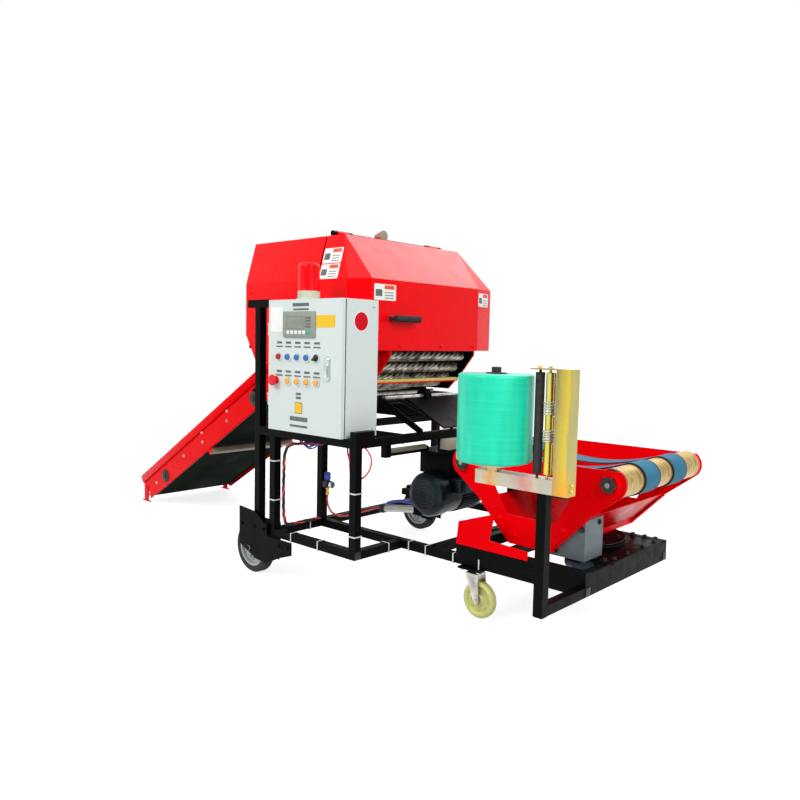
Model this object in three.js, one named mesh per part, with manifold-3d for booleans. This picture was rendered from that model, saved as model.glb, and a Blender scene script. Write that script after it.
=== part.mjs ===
// Stationary mini silage round baler: infeed conveyor, bale chamber with lifting tailgate,
// control cabinet on a stand, and a bale wrapping turntable with its film stand.
// Millimetres. X runs along the machine towards the wrapper, Y across it away from the
// operator, Z up from the floor. Measures are from the stand's outer corner; the whole
// machine is then moved so that its middle is over the origin.
import * as THREE from 'three';
import { mergeVertices } from 'three/addons/utils/BufferGeometryUtils.js';
import { ConvexGeometry } from 'three/addons/geometries/ConvexGeometry.js';
import Module from 'manifold-3d';

const wasm = await Module();
wasm.setup();

// ---------------------------------------------------------------- driving dimensions

const seat = 0.3; // gap between pieces that rest on or are bolted to each other
const running = 6; // gap between a moving piece and its neighbours
const sheet = 3; // thickness of the red cover sheets
const middle = { x: -628.8, y: 479.2 }; // the point of the floor that becomes the origin

// frame
const tube = 30;
const railBottom = 170;
const railTop = railBottom + tube;
const deckTop = 585;
const deckBottom = deckTop - tube;
const standLeft = -471;
const standRight = 0;
const nearRail = 240;
const farRail = 950;
const wrapFar = 790;
const frameRight = 743;
const farRailLeft = -650;
const deckLeft = -870;
const motorTubeX = 110;
const casterTubeX = 325;

// chamber and covers
const wall = 8;
const chamberNear = 350;
const chamberFar = 870;
const chamber = { x: -487, z: deckTop + 423, radius: 285, roller: 24, step: 12 };
const seam = -440;
const seamGap = 8;
const hood = {
  near: 200, far: 1020, left: -902, front: -169,
  skirt: deckTop + 302, crease: deckTop + 570, top: deckTop + 745,
};
const topInset = 50;

// conveyor: the centre of its upper drum, the height of its lower one, and the length between
const conveyor = {
  headX: -873.5, headZ: deckTop + 172.8, z: 78, length: 1320, roller: 42, belt: 4, plate: 4,
};
const conveyorAngle = Math.asin((conveyor.headZ - conveyor.z) / conveyor.length);

// wheels
const wheel = { x: -585, radius: 100, width: 45, axle: 10 };
const forkPlate = 6;
const caster = { x: 322, trail: 25, radius: 62.5, width: 30, axle: 5 };

// cabinet
const cabinet = { left: -457, right: -57, front: -18, depth: 173, height: 480, wall: 3 };
const door = { depth: 15, plate: 3, gap: 5, hingeX: -463, hingeY: -12 };

// wrapping table
const table = { x: 500, y: 600, baseHeight: 40, plateRadius: 175, plate: 10 };
const cradle = { reach: 275, rollerZ: 509, roller: 47, nose: 52, plate: 5, width: 584, top: 550 };
const belt = { width: 110, offset: 105, thickness: 4, sagTop: 48, sagBottom: 52 };

// film stand
const filmArm = { left: 505, right: 763, top: 558, leg: 40, thickness: 4 };
const filmRoll = { x: 558, y: 12, radius: 109, height: 252, bottom: 586 };
const stretch = { y: 20, top: 856, black: { x: 699, radius: 13 }, gold: { x: 731, radius: 11 } };
const channel = { right: 808, near: -4, far: 41, thickness: 3 };

// drive motor
const motor = { x: -62, z: deckBottom - 159, radius: 88, near: 430, far: 720 };

// ---------------------------------------------------------------- colours

const paint = {
  red: ['#d3121b', 0.35, 0.1],
  black: ['#17191b', 0.45, 0.2],
  motorBlack: ['#1b1e22', 0.5, 0.3],
  cabinet: ['#d9e2df', 0.4, 0.1],
  steel: ['#b9b7ae', 0.35, 0.9],
  zinc: ['#cfc08a', 0.35, 0.8],
  yellowZinc: ['#d9b44a', 0.35, 0.8],
  tyre: ['#151515', 0.8, 0],
  cream: ['#cfcf9f', 0.6, 0],
  film: ['#3fd9b4', 0.25, 0],
  beltBlue: ['#3f8fb5', 0.6, 0],
  beltGreen: ['#1d3a2c', 0.7, 0],
  bracket: ['#4c5559', 0.5, 0.3],
  lens: ['#d6202a', 0.25, 0],
  beaconGrey: ['#c9cfc6', 0.5, 0],
  panelGrey: ['#8b9290', 0.5, 0],
  blue: ['#1d55c9', 0.45, 0],
  yellow: ['#e7b81a', 0.4, 0],
  redPlastic: ['#d81f26', 0.35, 0],
  grip: ['#101010', 0.7, 0],
  cylinder: ['#b5b5b2', 0.4, 0.6],
};

// ---------------------------------------------------------------- solids

// A closed manifold solid from any closed three.js geometry.
function solid(geometry) {
  const bare = geometry.clone();
  bare.deleteAttribute('normal');
  bare.deleteAttribute('uv');
  const merged = mergeVertices(bare, 1e-4);
  const vertProperties = new Float32Array(merged.attributes.position.array);
  const triVerts = new Uint32Array(merged.index.array);
  return new wasm.Manifold(new wasm.Mesh({ numProp: 3, vertProperties, triVerts }));
}

function join(...solids) {
  return solids.reduce((whole, piece) => whole.add(piece));
}

function cut(whole, ...tools) {
  return tools.reduce((rest, tool) => rest.subtract(tool), whole);
}

// A box between pairs of limits along X, Y and Z.
function box([x0, x1], [y0, y1], [z0, z1]) {
  const geometry = new THREE.BoxGeometry(x1 - x0, y1 - y0, z1 - z0);
  geometry.translate((x0 + x1) / 2, (y0 + y1) / 2, (z0 + z1) / 2);
  return solid(geometry);
}

// A round bar along Y between two limits.
function barY(x, z, radius, [y0, y1], sides = 32) {
  const geometry = new THREE.CylinderGeometry(radius, radius, y1 - y0, sides);
  geometry.translate(x, (y0 + y1) / 2, z);
  return solid(geometry);
}

// A round bar along Z between two limits.
function barZ(x, y, radius, [z0, z1], sides = 32) {
  const geometry = new THREE.CylinderGeometry(radius, radius, z1 - z0, sides);
  geometry.rotateX(Math.PI / 2);
  geometry.translate(x, y, (z0 + z1) / 2);
  return solid(geometry);
}

// A round bar between two points.
function barBetween(from, to, radius, sides = 20) {
  const start = new THREE.Vector3(...from);
  const along = new THREE.Vector3(...to).sub(start);
  const geometry = new THREE.CylinderGeometry(radius, radius, along.length(), sides);
  const turn = new THREE.Quaternion().setFromUnitVectors(
    new THREE.Vector3(0, 1, 0),
    along.clone().normalize(),
  );
  geometry.applyQuaternion(turn);
  const centre = start.addScaledVector(along, 0.5);
  geometry.translate(centre.x, centre.y, centre.z);
  return solid(geometry);
}

// The points of an outline as a path that runs the way round that is asked for.
function orderedPath(points, clockwise) {
  const path = points.map(([x, z]) => new THREE.Vector2(x, z));
  return THREE.ShapeUtils.isClockWise(path) === clockwise ? path : path.reverse();
}

// A plate whose outline lies in X and Z, between two limits along Y.
function plateY(outline, [y0, y1], holes = []) {
  const shape = new THREE.Shape(orderedPath(outline, false));
  for (const hole of holes) {
    shape.holes.push(new THREE.Path(orderedPath(hole, true)));
  }
  const geometry = new THREE.ExtrudeGeometry(shape, { depth: y1 - y0, bevelEnabled: false });
  geometry.rotateX(Math.PI / 2);
  geometry.translate(0, y1, 0);
  return solid(geometry);
}

// A solid turned about Z: the profile holds radius and height pairs and closes on itself.
function turned(profile, segments = 48) {
  const points = [...profile, profile[0]].map(([r, z]) => new THREE.Vector2(r, z));
  const geometry = new THREE.LatheGeometry(points, segments);
  geometry.rotateX(Math.PI / 2);
  return solid(geometry);
}

// The convex body around a list of corners.
function hull(corners) {
  return solid(new ConvexGeometry(corners.map((corner) => new THREE.Vector3(...corner))));
}

// A hose or cable of round section along a smooth route.
function hose(route, radius) {
  const curve = new THREE.CatmullRomCurve3(route.map((point) => new THREE.Vector3(...point)));
  const section = new THREE.Shape().absarc(0, 0, radius, 0, Math.PI * 2);
  const steps = Math.min(80, Math.ceil(curve.getLength() / (radius * 5)));
  const options = { steps, bevelEnabled: false, extrudePath: curve, curveSegments: 5 };
  return solid(new THREE.ExtrudeGeometry(section, options));
}

// ---------------------------------------------------------------- the scene

const machine = new THREE.Group();
machine.position.set(-middle.x, -middle.y, 0);

function add(name, body, [color, roughness, metalness], parent = machine) {
  const { vertProperties, triVerts } = body.getMesh();
  const geometry = new THREE.BufferGeometry();
  geometry.setAttribute('position', new THREE.BufferAttribute(vertProperties, 3));
  geometry.setIndex(new THREE.BufferAttribute(triVerts, 1));
  geometry.computeVertexNormals();
  const material = new THREE.MeshStandardMaterial({ color, roughness, metalness });
  const mesh = new THREE.Mesh(geometry, material);
  mesh.name = name;
  parent.add(mesh);
}

// ---------------------------------------------------------------- frame

const railZ = [railBottom, railTop];
const deckZ = [deckBottom, deckTop];
const nearY = [nearRail, nearRail + tube];
const farY = [farRail, farRail + tube];
const standY = [0, tube];
const frameFar = farRail + tube;

function tubeX(from) {
  return [from, from + tube];
}

function addBaseFrame() {
  const wrapY = [wrapFar, wrapFar + tube];
  add('base_frame', join(
    box([standLeft, standRight], standY, railZ),
    box(tubeX(standLeft), [0, frameFar], railZ),
    box(tubeX(standRight - tube), [0, nearRail + tube], railZ),
    box([standLeft, frameRight], nearY, railZ),
    box([farRailLeft, casterTubeX + tube], farY, railZ),
    box([casterTubeX, frameRight], wrapY, railZ),
    box(tubeX(motorTubeX), [nearRail, frameFar], railZ),
    box(tubeX(casterTubeX), [nearRail, frameFar], railZ),
    box([frameRight - tube, frameRight], [tube + seat, wrapFar + tube], railZ),
  ), paint.black);
}

function addMachineStand() {
  const legZ = [railTop + seat, deckBottom + 1];
  add('machine_stand', join(
    box([standLeft, standRight], standY, deckZ),
    box([deckLeft, standRight], nearY, deckZ),
    box([deckLeft, standRight], farY, deckZ),
    box(tubeX(deckLeft), [nearRail, frameFar], deckZ),
    box(tubeX(standLeft), [0, frameFar], deckZ),
    box(tubeX(standRight - tube), [0, frameFar], deckZ),
    box(tubeX(standLeft), standY, legZ),
    box(tubeX(standRight - tube), standY, legZ),
    box(tubeX(standLeft), nearY, legZ),
    box(tubeX(standLeft), farY, legZ),
    box(tubeX(standRight - tube), farY, legZ),
    box(tubeX(standRight - tube), [0, 90], [deckTop - 1, deckTop + 27]),
    motorHanger(),
  ), paint.black);
}

const forkTop = wheel.radius * 2 + running;
const forkEnd = standLeft - seat - forkPlate;

const handle = { x: -565, top: deckTop + 455, bar: [-613, -487] };

function handlePost() {
  return join(
    box(tubeX(handle.x), standY, [forkTop + 1, handle.top + 1]),
    box(handle.bar, standY, [handle.top, handle.top + tube]),
    box([handle.x + tube - 1, standLeft - seat], standY, deckZ),
  );
}

// ---------------------------------------------------------------- road wheels

function addFixedWheel(side, inner) {
  const [y0, y1] = [inner, inner + wheel.width];
  const outline = [
    [10.5, -22.5], [24, -22.5], [24, -8], [70, -8], [74, -20], [88, -22.5], [98, -17],
    [100, -10], [100, 10], [98, 17], [88, 22.5], [74, 20], [70, 8], [24, 8], [24, 22.5],
    [10.5, 22.5],
  ];
  const body = turned(outline, 48).rotate([90, 0, 0]).translate([wheel.x, (y0 + y1) / 2, wheel.radius]);
  add(`${side}_wheel`, body, paint.tyre);
}

function addNearFork() {
  const outerY = [-running - forkPlate, -running];
  const innerY = [wheel.width + running, wheel.width + running + forkPlate];
  const left = -647;
  const outer = [
    [left, 110], [left, 258], [-545, 250], [forkEnd, forkTop + forkPlate], [forkEnd, 168],
    [-327, 168], [-327, 120], [-400, 96], [-470, 62], [-540, 66],
  ];
  const inner = [[left, 110], [left, forkTop + 1], [forkEnd, forkTop + 1], [forkEnd, 62], [-540, 66]];
  add('near_wheel_fork', join(
    plateY(outer, outerY),
    plateY(inner, innerY),
    box([left, forkEnd], [outerY[0], innerY[1]], [forkTop, forkTop + forkPlate]),
    box([forkEnd - 0.5, forkEnd + forkPlate], [outerY[0], innerY[1]], [80, forkTop + forkPlate]),
    barY(wheel.x, wheel.radius, wheel.axle, [outerY[0] - 6, innerY[1] + 6]),
    handlePost(),
  ), paint.black);
}

function addFarFork() {
  const innerY = [frameFar + seat, frameFar + seat + forkPlate];
  const wheelNear = innerY[1] + running;
  const outerNear = wheelNear + wheel.width + running;
  const outerY = [outerNear, outerNear + forkPlate];
  const left = -647;
  const inner = [[left, 110], [left, forkTop + 1], [forkEnd, forkTop + 1], [forkEnd, 62], [-540, 66]];
  add('far_wheel_fork', join(
    plateY(inner, innerY),
    plateY(inner, outerY),
    box([left, forkEnd], [innerY[0], outerY[1]], [forkTop, forkTop + forkPlate]),
    box([forkEnd - 0.5, forkEnd + forkPlate], [innerY[0], outerY[1]], [80, forkTop + forkPlate]),
    barY(wheel.x, wheel.radius, wheel.axle, [innerY[0], outerY[1] + 6]),
  ), paint.black);
  addFixedWheel('far', wheelNear);
}

function addCaster(side, y) {
  const plateTop = railBottom - seat;
  const plateZ = [plateTop - 6, plateTop];
  const bossZ = [152, plateZ[0] + 1];
  add(`${side}_caster_mount`, join(
    box([caster.x - 45, caster.x + 45], [y - 37, y + 37], plateZ),
    barZ(caster.x, y, 20, bossZ),
  ), paint.zinc);

  const wheelX = caster.x + caster.trail;
  const legInner = caster.width / 2 + running;
  const crownZ = [145, bossZ[0] - seat];
  const leg = [
    [caster.x - 22, crownZ[1]], [caster.x + 28, crownZ[1]], [wheelX + 12, caster.radius],
    [wheelX + 6, caster.radius - 11], [wheelX - 6, caster.radius - 11], [wheelX - 12, caster.radius],
  ];
  const legPlate = 4;
  add(`${side}_caster_fork`, join(
    box([caster.x - 22, caster.x + 28], [y - legInner - legPlate, y + legInner + legPlate], crownZ),
    plateY(leg, [y - legInner - legPlate, y - legInner]),
    plateY(leg, [y + legInner, y + legInner + legPlate]),
    barY(wheelX, caster.radius, caster.axle, [y - legInner - 8, y + legInner + 8]),
  ), paint.zinc);

  const half = caster.width / 2;
  const bore = caster.axle + 0.5;
  const outline = [
    [bore, -half], [18, -half], [22, -half + 4], [44, -half + 4], [50, -half],
    [caster.radius - 2, -half + 1], [caster.radius, -half + 5], [caster.radius, half - 5],
    [caster.radius - 2, half - 1], [50, half], [44, half - 4], [22, half - 4], [18, half], [bore, half],
  ];
  const body = turned(outline, 40).rotate([90, 0, 0]).translate([wheelX, y, caster.radius]);
  add(`${side}_caster_wheel`, body, paint.cream);
}

// ---------------------------------------------------------------- conveyor

function addConveyor() {
  const group = new THREE.Group();
  group.position.set(conveyor.headX - conveyor.length * Math.cos(conveyorAngle), 0, conveyor.z);
  group.rotation.y = -conveyorAngle;
  machine.add(group);

  const nearPlate = [chamberNear + seat, chamberNear + seat + conveyor.plate];
  const farPlate = [chamberFar - seat - conveyor.plate, chamberFar - seat];
  const head = conveyor.length;
  const outline = [[-15, -54], [-45, 60], [-40, 88], [head + 15, 88], [head + 15, -62], [60, -62]];
  const slot = [
    [-200, -30], [-170, -30], [-160, -15], [-160, 15], [-170, 30], [-200, 30], [-210, 15], [-210, -15],
  ].map(([along, rise]) => [head + along, rise]);

  const clear = 4;
  const width = [nearPlate[1] + clear, farPlate[0] - clear];
  const inner = conveyor.roller + 2 * seat;
  const outer = inner + conveyor.belt;
  const loop = (radius) => {
    const points = [];
    const halfTurn = 14;
    for (let i = 0; i <= halfTurn; i += 1) {
      const angle = Math.PI / 2 + (Math.PI * i) / halfTurn;
      points.push([radius * Math.cos(angle), radius * Math.sin(angle)]);
    }
    for (let i = 0; i <= halfTurn; i += 1) {
      const angle = -Math.PI / 2 + (Math.PI * i) / halfTurn;
      points.push([conveyor.length + radius * Math.cos(angle), radius * Math.sin(angle)]);
    }
    return points;
  };
  add('conveyor_belt', plateY(loop(outer), width, [loop(inner)]), paint.beltGreen, group);

  const shaft = 12;
  const drums = [0, conveyor.length].map((along) => join(
    barY(along, 0, conveyor.roller, width, 40),
    barY(along, 0, shaft, [nearPlate[0], farPlate[1]], 20),
  ));
  const crossBars = [[head / 2 - 20, head / 2 + 10], [head - 30, head]].map(([from, to]) => (
    box([from, to], [nearPlate[0], farPlate[1]], [-84, -61])));
  const feet = [nearPlate[0] - 4, farPlate[0]].map((y) => conveyorFoot([y, y + 8]));
  add('conveyor_frame', join(
    plateY(outline, nearPlate, [slot]),
    plateY(outline, farPlate, [slot]),
    ...drums,
    ...crossBars,
    ...feet,
  ), paint.red, group);
}

// An upright foot plate, drawn in the slanted frame of the conveyor.
function conveyorFoot([y0, y1]) {
  const leg = join(
    box([-48, -12], [y0, y1], [-conveyor.z, 12]),
    box([-70, 10], [y0, y1], [-conveyor.z, -conveyor.z + 5]),
  );
  return leg.rotate([0, THREE.MathUtils.radToDeg(conveyorAngle), 0]);
}

// ---------------------------------------------------------------- bale chamber

const nearWall = [chamberNear - wall, chamberNear];
const farWall = [chamberFar, chamberFar + wall];
const fixedEdge = seam - seamGap / 2;
const gateEdge = seam + seamGap / 2;
const ceiling = hood.top - sheet - seat;

function addChamberWalls() {
  const outline = [
    [-860, deckTop + seat], [fixedEdge, deckTop + seat], [fixedEdge, ceiling], [-800, ceiling],
    [-880, deckTop + 615], [-880, deckTop + 315], [-860, deckTop + 275],
  ];
  add('chamber_frame', join(
    plateY(outline, nearWall),
    plateY(outline, farWall),
    ...rollersAt(anglesFrom(102, 174)),
    ...rollersAt(anglesFrom(234, 258)),
  ), paint.black);
}

function rollerPlace(degrees) {
  const angle = THREE.MathUtils.degToRad(degrees);
  return [
    chamber.x + chamber.radius * Math.cos(angle),
    chamber.z + chamber.radius * Math.sin(angle),
  ];
}

// Rollers whose shafts run into both walls of the chamber.
function rollersAt(angles) {
  return angles.map((degrees) => {
    const [x, z] = rollerPlace(degrees);
    return barY(x, z, chamber.roller, [nearWall[1] - 1, farWall[0] + 1], 16);
  });
}

function anglesFrom(first, last) {
  const angles = [];
  for (let degrees = first; degrees <= last; degrees += chamber.step) {
    angles.push(degrees);
  }
  return angles;
}

function addFixedHood() {
  const corners = [];
  for (const y of [hood.near, hood.far]) {
    corners.push([fixedEdge, y, hood.skirt - 66], [-829, y, hood.skirt - 66]);
    corners.push([hood.left, y, hood.skirt + 49]);
    corners.push([hood.left, y, hood.crease], [fixedEdge, y, hood.crease]);
  }
  for (const y of [hood.near + topInset, hood.far - topInset]) {
    corners.push([hood.left, y, hood.top], [fixedEdge, y, hood.top]);
  }
  const inner = [];
  for (const y of [hood.near + sheet, hood.far - sheet]) {
    inner.push([seam, y, hood.skirt - 187], [hood.left + sheet, y, hood.skirt - 187]);
    inner.push([hood.left + sheet, y, hood.crease - 1], [seam, y, hood.crease - 1]);
  }
  for (const y of [hood.near + topInset + sheet, hood.far - topInset - sheet]) {
    inner.push([hood.left + sheet, y, hood.top - sheet], [seam, y, hood.top - sheet]);
  }
  add('fixed_hood', cut(hull(corners), hull(inner)), paint.red);
}

// ---------------------------------------------------------------- tailgate

const hingeZ = hood.top + 15;
const hingePin = 7;
const hingeSleeve = 12;
const sleeveSpans = [[300, 360], [860, 920]];

function addTailgateHinge() {
  const leafZ = [hood.top + seat, hood.top + seat + 3];
  const pieces = [barY(seam, hingeZ, hingePin, [278, 942], 20)];
  for (const [y0, y1] of [[278, 294], [366, 382], [838, 854], [926, 942]]) {
    pieces.push(box([seam - hingePin, seam + 0], [y0, y1], [leafZ[0], hingeZ]));
    pieces.push(barY(seam, hingeZ, hingeSleeve - 1, [y0, y1], 20));
  }
  pieces.push(box([seam - 70, seam - seamGap / 2], [278, 942], leafZ));
  add('tailgate_hinge', join(...pieces), paint.black);
}

function hingeStraps() {
  const straps = sleeveSpans.map(([y0, y1]) => {
    const sleeve = barY(seam, hingeZ, hingeSleeve, [y0, y1], 24);
    const leaf = box([seam + 4, seam + 60], [y0, y1], [hood.top - 1, hood.top + 3]);
    const web = box([seam + 4, seam + 9], [y0, y1], [hood.top, hingeZ]);
    return cut(join(sleeve, leaf, web), barY(seam, hingeZ, hingePin + 0.5, [y0 - 1, y1 + 1], 24));
  });
  return straps;
}

// A small ribbed horn that lies on the roof, with its mouth towards the wrapper.
function roofHorn() {
  const horn = { x: -408, y: 492, length: 46, ribs: 5, mouth: 21, throat: 3 };
  const profile = [[0, 0]];
  for (let i = 0; i < horn.ribs; i += 1) {
    const radius = horn.throat + ((horn.mouth - horn.throat) * (i + 1)) / horn.ribs;
    profile.push([radius, (horn.length * i) / horn.ribs + 1]);
    profile.push([radius, (horn.length * (i + 1)) / horn.ribs - 1]);
  }
  profile.push([0, horn.length - 1]);
  const z = hood.top + horn.mouth + 1;
  const cone = turned(profile, 24).rotate([0, 90, 0]).translate([horn.x, horn.y, z]);
  const foot = box([horn.x + 26, horn.x + 38], [horn.y - 10, horn.y + 10], [hood.top - 1, z]);
  return join(cone, foot);
}

function addTailgateHood() {
  const plan = [
    [gateEdge, hood.near], [-269, hood.near], [hood.front, 235], [hood.front, 890],
    [-200, hood.far], [gateEdge, hood.far],
  ];
  const roof = [
    [gateEdge, hood.near + topInset], [-336, hood.near + topInset], [-336, 945],
    [-372, hood.far - topInset], [gateEdge, hood.far - topInset],
  ];
  const corners = [];
  for (const [x, y] of plan) {
    corners.push([x, y, hood.skirt], [x, y, hood.crease]);
  }
  for (const [x, y] of roof) {
    corners.push([x, y, hood.top]);
  }
  const open = seam - 20;
  const innerPlan = [
    [open, hood.near + sheet], [-270, hood.near + sheet], [hood.front - sheet, 237.2],
    [hood.front - sheet, 888.5], [-202.5, hood.far - sheet], [open, hood.far - sheet],
  ];
  const innerRoof = [
    [open, hood.near + topInset + sheet], [-338, hood.near + topInset + sheet], [-338, 942],
    [-373, hood.far - topInset - sheet], [open, hood.far - topInset - sheet],
  ];
  const inner = [];
  for (const [x, y] of innerPlan) {
    inner.push([x, y, hood.skirt - 20], [x, y, hood.crease - 1]);
  }
  for (const [x, y] of innerRoof) {
    inner.push([x, y, hood.top - sheet]);
  }
  add('tailgate_hood', join(cut(hull(corners), hull(inner)), roofHorn(), ...hingeStraps()), paint.red);
}

function addTailgate() {
  addTailgateHood();
  const outline = [
    [gateEdge, deckTop + 130], [-310, deckTop + 130], [-236, deckTop + 205], [-174, deckTop + 283],
    [-174, hood.crease - 7], [-343, hood.top - 8], [-350, ceiling], [gateEdge, ceiling],
  ];
  add('tailgate_frame', join(
    plateY(outline, nearWall),
    plateY(outline, farWall),
    ...rollersAt(anglesFrom(-18, 66)),
    box([-288, -262], [nearWall[0], farWall[1]], [deckTop + 167, deckTop + 183]),
  ), paint.red);
  const journal = 8;
  anglesFrom(-66, -30).forEach((degrees, index) => {
    const [x, z] = rollerPlace(degrees);
    const body = join(
      barY(x, z, chamber.roller, [chamberNear + running, chamberFar - running], 24),
      barY(x, z, journal, [chamberNear + seat, chamberFar - seat], 16),
    );
    add(`tailgate_roller_${index + 1}`, body, paint.steel);
  });
  const grip = { x: hood.front + 36, z: chamber.z, radius: 13, span: [328, 466], foot: 14 };
  const feet = [grip.span[0], grip.span[1] - grip.foot].map((y) => (
    box([hood.front + seat, grip.x], [y, y + grip.foot], [grip.z - 9, grip.z + 9])));
  add('tailgate_handle', join(barY(grip.x, grip.z, grip.radius, grip.span, 20), ...feet), paint.grip);
}

// ---------------------------------------------------------------- bale exit

function addExitRamp() {
  const left = fixedEdge + seat;
  const top = deckTop + 115;
  const turnX = -205;
  const restX = standRight - tube;
  const depth = 28;
  const outline = [
    [left, top], [turnX, top], [standRight - 4, deckTop + seat + 12], [standRight - 4, deckTop + seat],
    [restX, deckTop + seat], [turnX - 6, top - depth], [left, top - depth],
  ];
  const slide = [
    [turnX - 6, top - 10], [turnX + 2, top - 2],
    [standRight - 4, deckTop + 12], [standRight - 4, deckTop + 6],
  ];
  add('exit_ramp', join(
    plateY(outline, nearWall),
    plateY(outline, farWall),
    barY(turnX - 6, top - depth / 2, 9, [nearWall[0], farWall[1]], 20),
    barY(-400, top - depth / 2, 9, [nearWall[0], farWall[1]], 20),
    barY(turnX - 6, top - depth / 2, 28, [580, 604], 24),
    plateY(slide, [470, farWall[1]]),
  ), paint.black);
}

// ---------------------------------------------------------------- drive

const cylinder = { left: [-298, 447, 236], right: [-118, 447, 262], radius: 16 };

function addMotor() {
  const { x, z, radius, near, far } = motor;
  const top = z + radius + 6;
  const lug = { x: [cylinder.right[0] + 2.6, cylinder.right[0] + 34], y: [near + 4, near + 30] };
  add('drive_motor', join(
    barY(x, z, radius, [near, far], 48),
    barY(x, z, 19, [far - 1, far + 60], 24),
    box([x - 75, x + 75], [near + 60, far - 40], [z, top]),
    box([x + radius - 30, x + radius + 30], [near + 80, near + 170], [z + 10, z + 65]),
    box(lug.x, lug.y, [cylinder.right[2] - 20, z - 40]),
  ), paint.motorBlack);
}

// The plate under the deck that the motor hangs from, and its two hangers.
function motorHanger() {
  const plateZ = [motor.z + motor.radius + 6 + seat, motor.z + motor.radius + 14];
  const hangerX = tubeX(standRight - tube);
  const hangerZ = [plateZ[1] - 1, deckBottom + 1];
  return join(
    box([motor.x - 85, motor.x + 62], [motor.near + 40, motor.far - 20], plateZ),
    box(hangerX, [motor.near + 40, motor.near + 120], hangerZ),
    box(hangerX, [motor.far - 70, motor.far - 30], hangerZ),
    barY(motor.x - 40, plateZ[1] + 6, 12, [nearRail + tube - 1, motor.near + 60], 20),
    box([motor.x - 52, motor.x - 28], nearY, [plateZ[0], deckBottom + 1]),
  );
}

function addAirLine() {
  const { left, right, radius } = cylinder;
  add('air_cylinder', join(
    barBetween(left, right, radius, 24),
    box([left[0] - 4, left[0] + 22], [left[1] - 18, left[1] + 18], [left[2] - 16, left[2] + 20]),
  ), paint.cylinder);

  const bowl = { x: standLeft + tube + 17, y: nearRail + tube / 2 };
  add('air_regulator', join(
    box([standLeft + tube + seat, bowl.x + 13], [bowl.y - 14, bowl.y + 14], [330, 356]),
    barZ(bowl.x, bowl.y, 12, [355, 392], 24),
    barZ(bowl.x, bowl.y, 7, [300, 331], 20),
    barBetween([bowl.x + 12, bowl.y, 343], [bowl.x + 36, bowl.y, 343], 10, 20),
  ), paint.blue);

  const blueRadius = 6;
  const overBarrel = radius + blueRadius - 0.6;
  add('blue_air_hose', hose([
    [right[0] - 4, right[1], right[2] + overBarrel], [-150, right[1], 285], [-200, left[1], 282],
    [-250, left[1], 270], [left[0] + 28, left[1], left[2] + overBarrel + 4.6],
  ], blueRadius), paint.blue);
  add('red_air_hose', hose([
    [left[0] - 8.5, left[1], left[2]], [-330, 440, 232], [-352, 400, 222], [-368, 340, 214],
    [-384, 290, 214], [-404, 262, 230], [bowl.x, bowl.y, 270], [bowl.x, bowl.y, 299.7],
  ], 4), paint.redPlastic);
  const beside = standLeft + tube + 9; // the cable runs down beside the stand's left leg
  const above = railTop + 10;
  const under = deckTop - seat;
  add('cabinet_cable', hose([
    [-250, 110, under - 0.2], [-252, 108, under - 25], [-280, 100, under - 47], [-350, 80, under - 53],
    [beside + 20, 50, under - 65], [beside + 2, 40, under - 105], [beside, tube + 8, under - 185],
    [beside, tube + 8, above + 70], [beside + 4, tube + 14, above + 12], [beside + 4, tube + 40, above],
    [beside + 4, nearRail - 100, above], [beside + 4, nearRail - 20, above],
  ], 7), paint.redPlastic);
}

// ---------------------------------------------------------------- control cabinet

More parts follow.
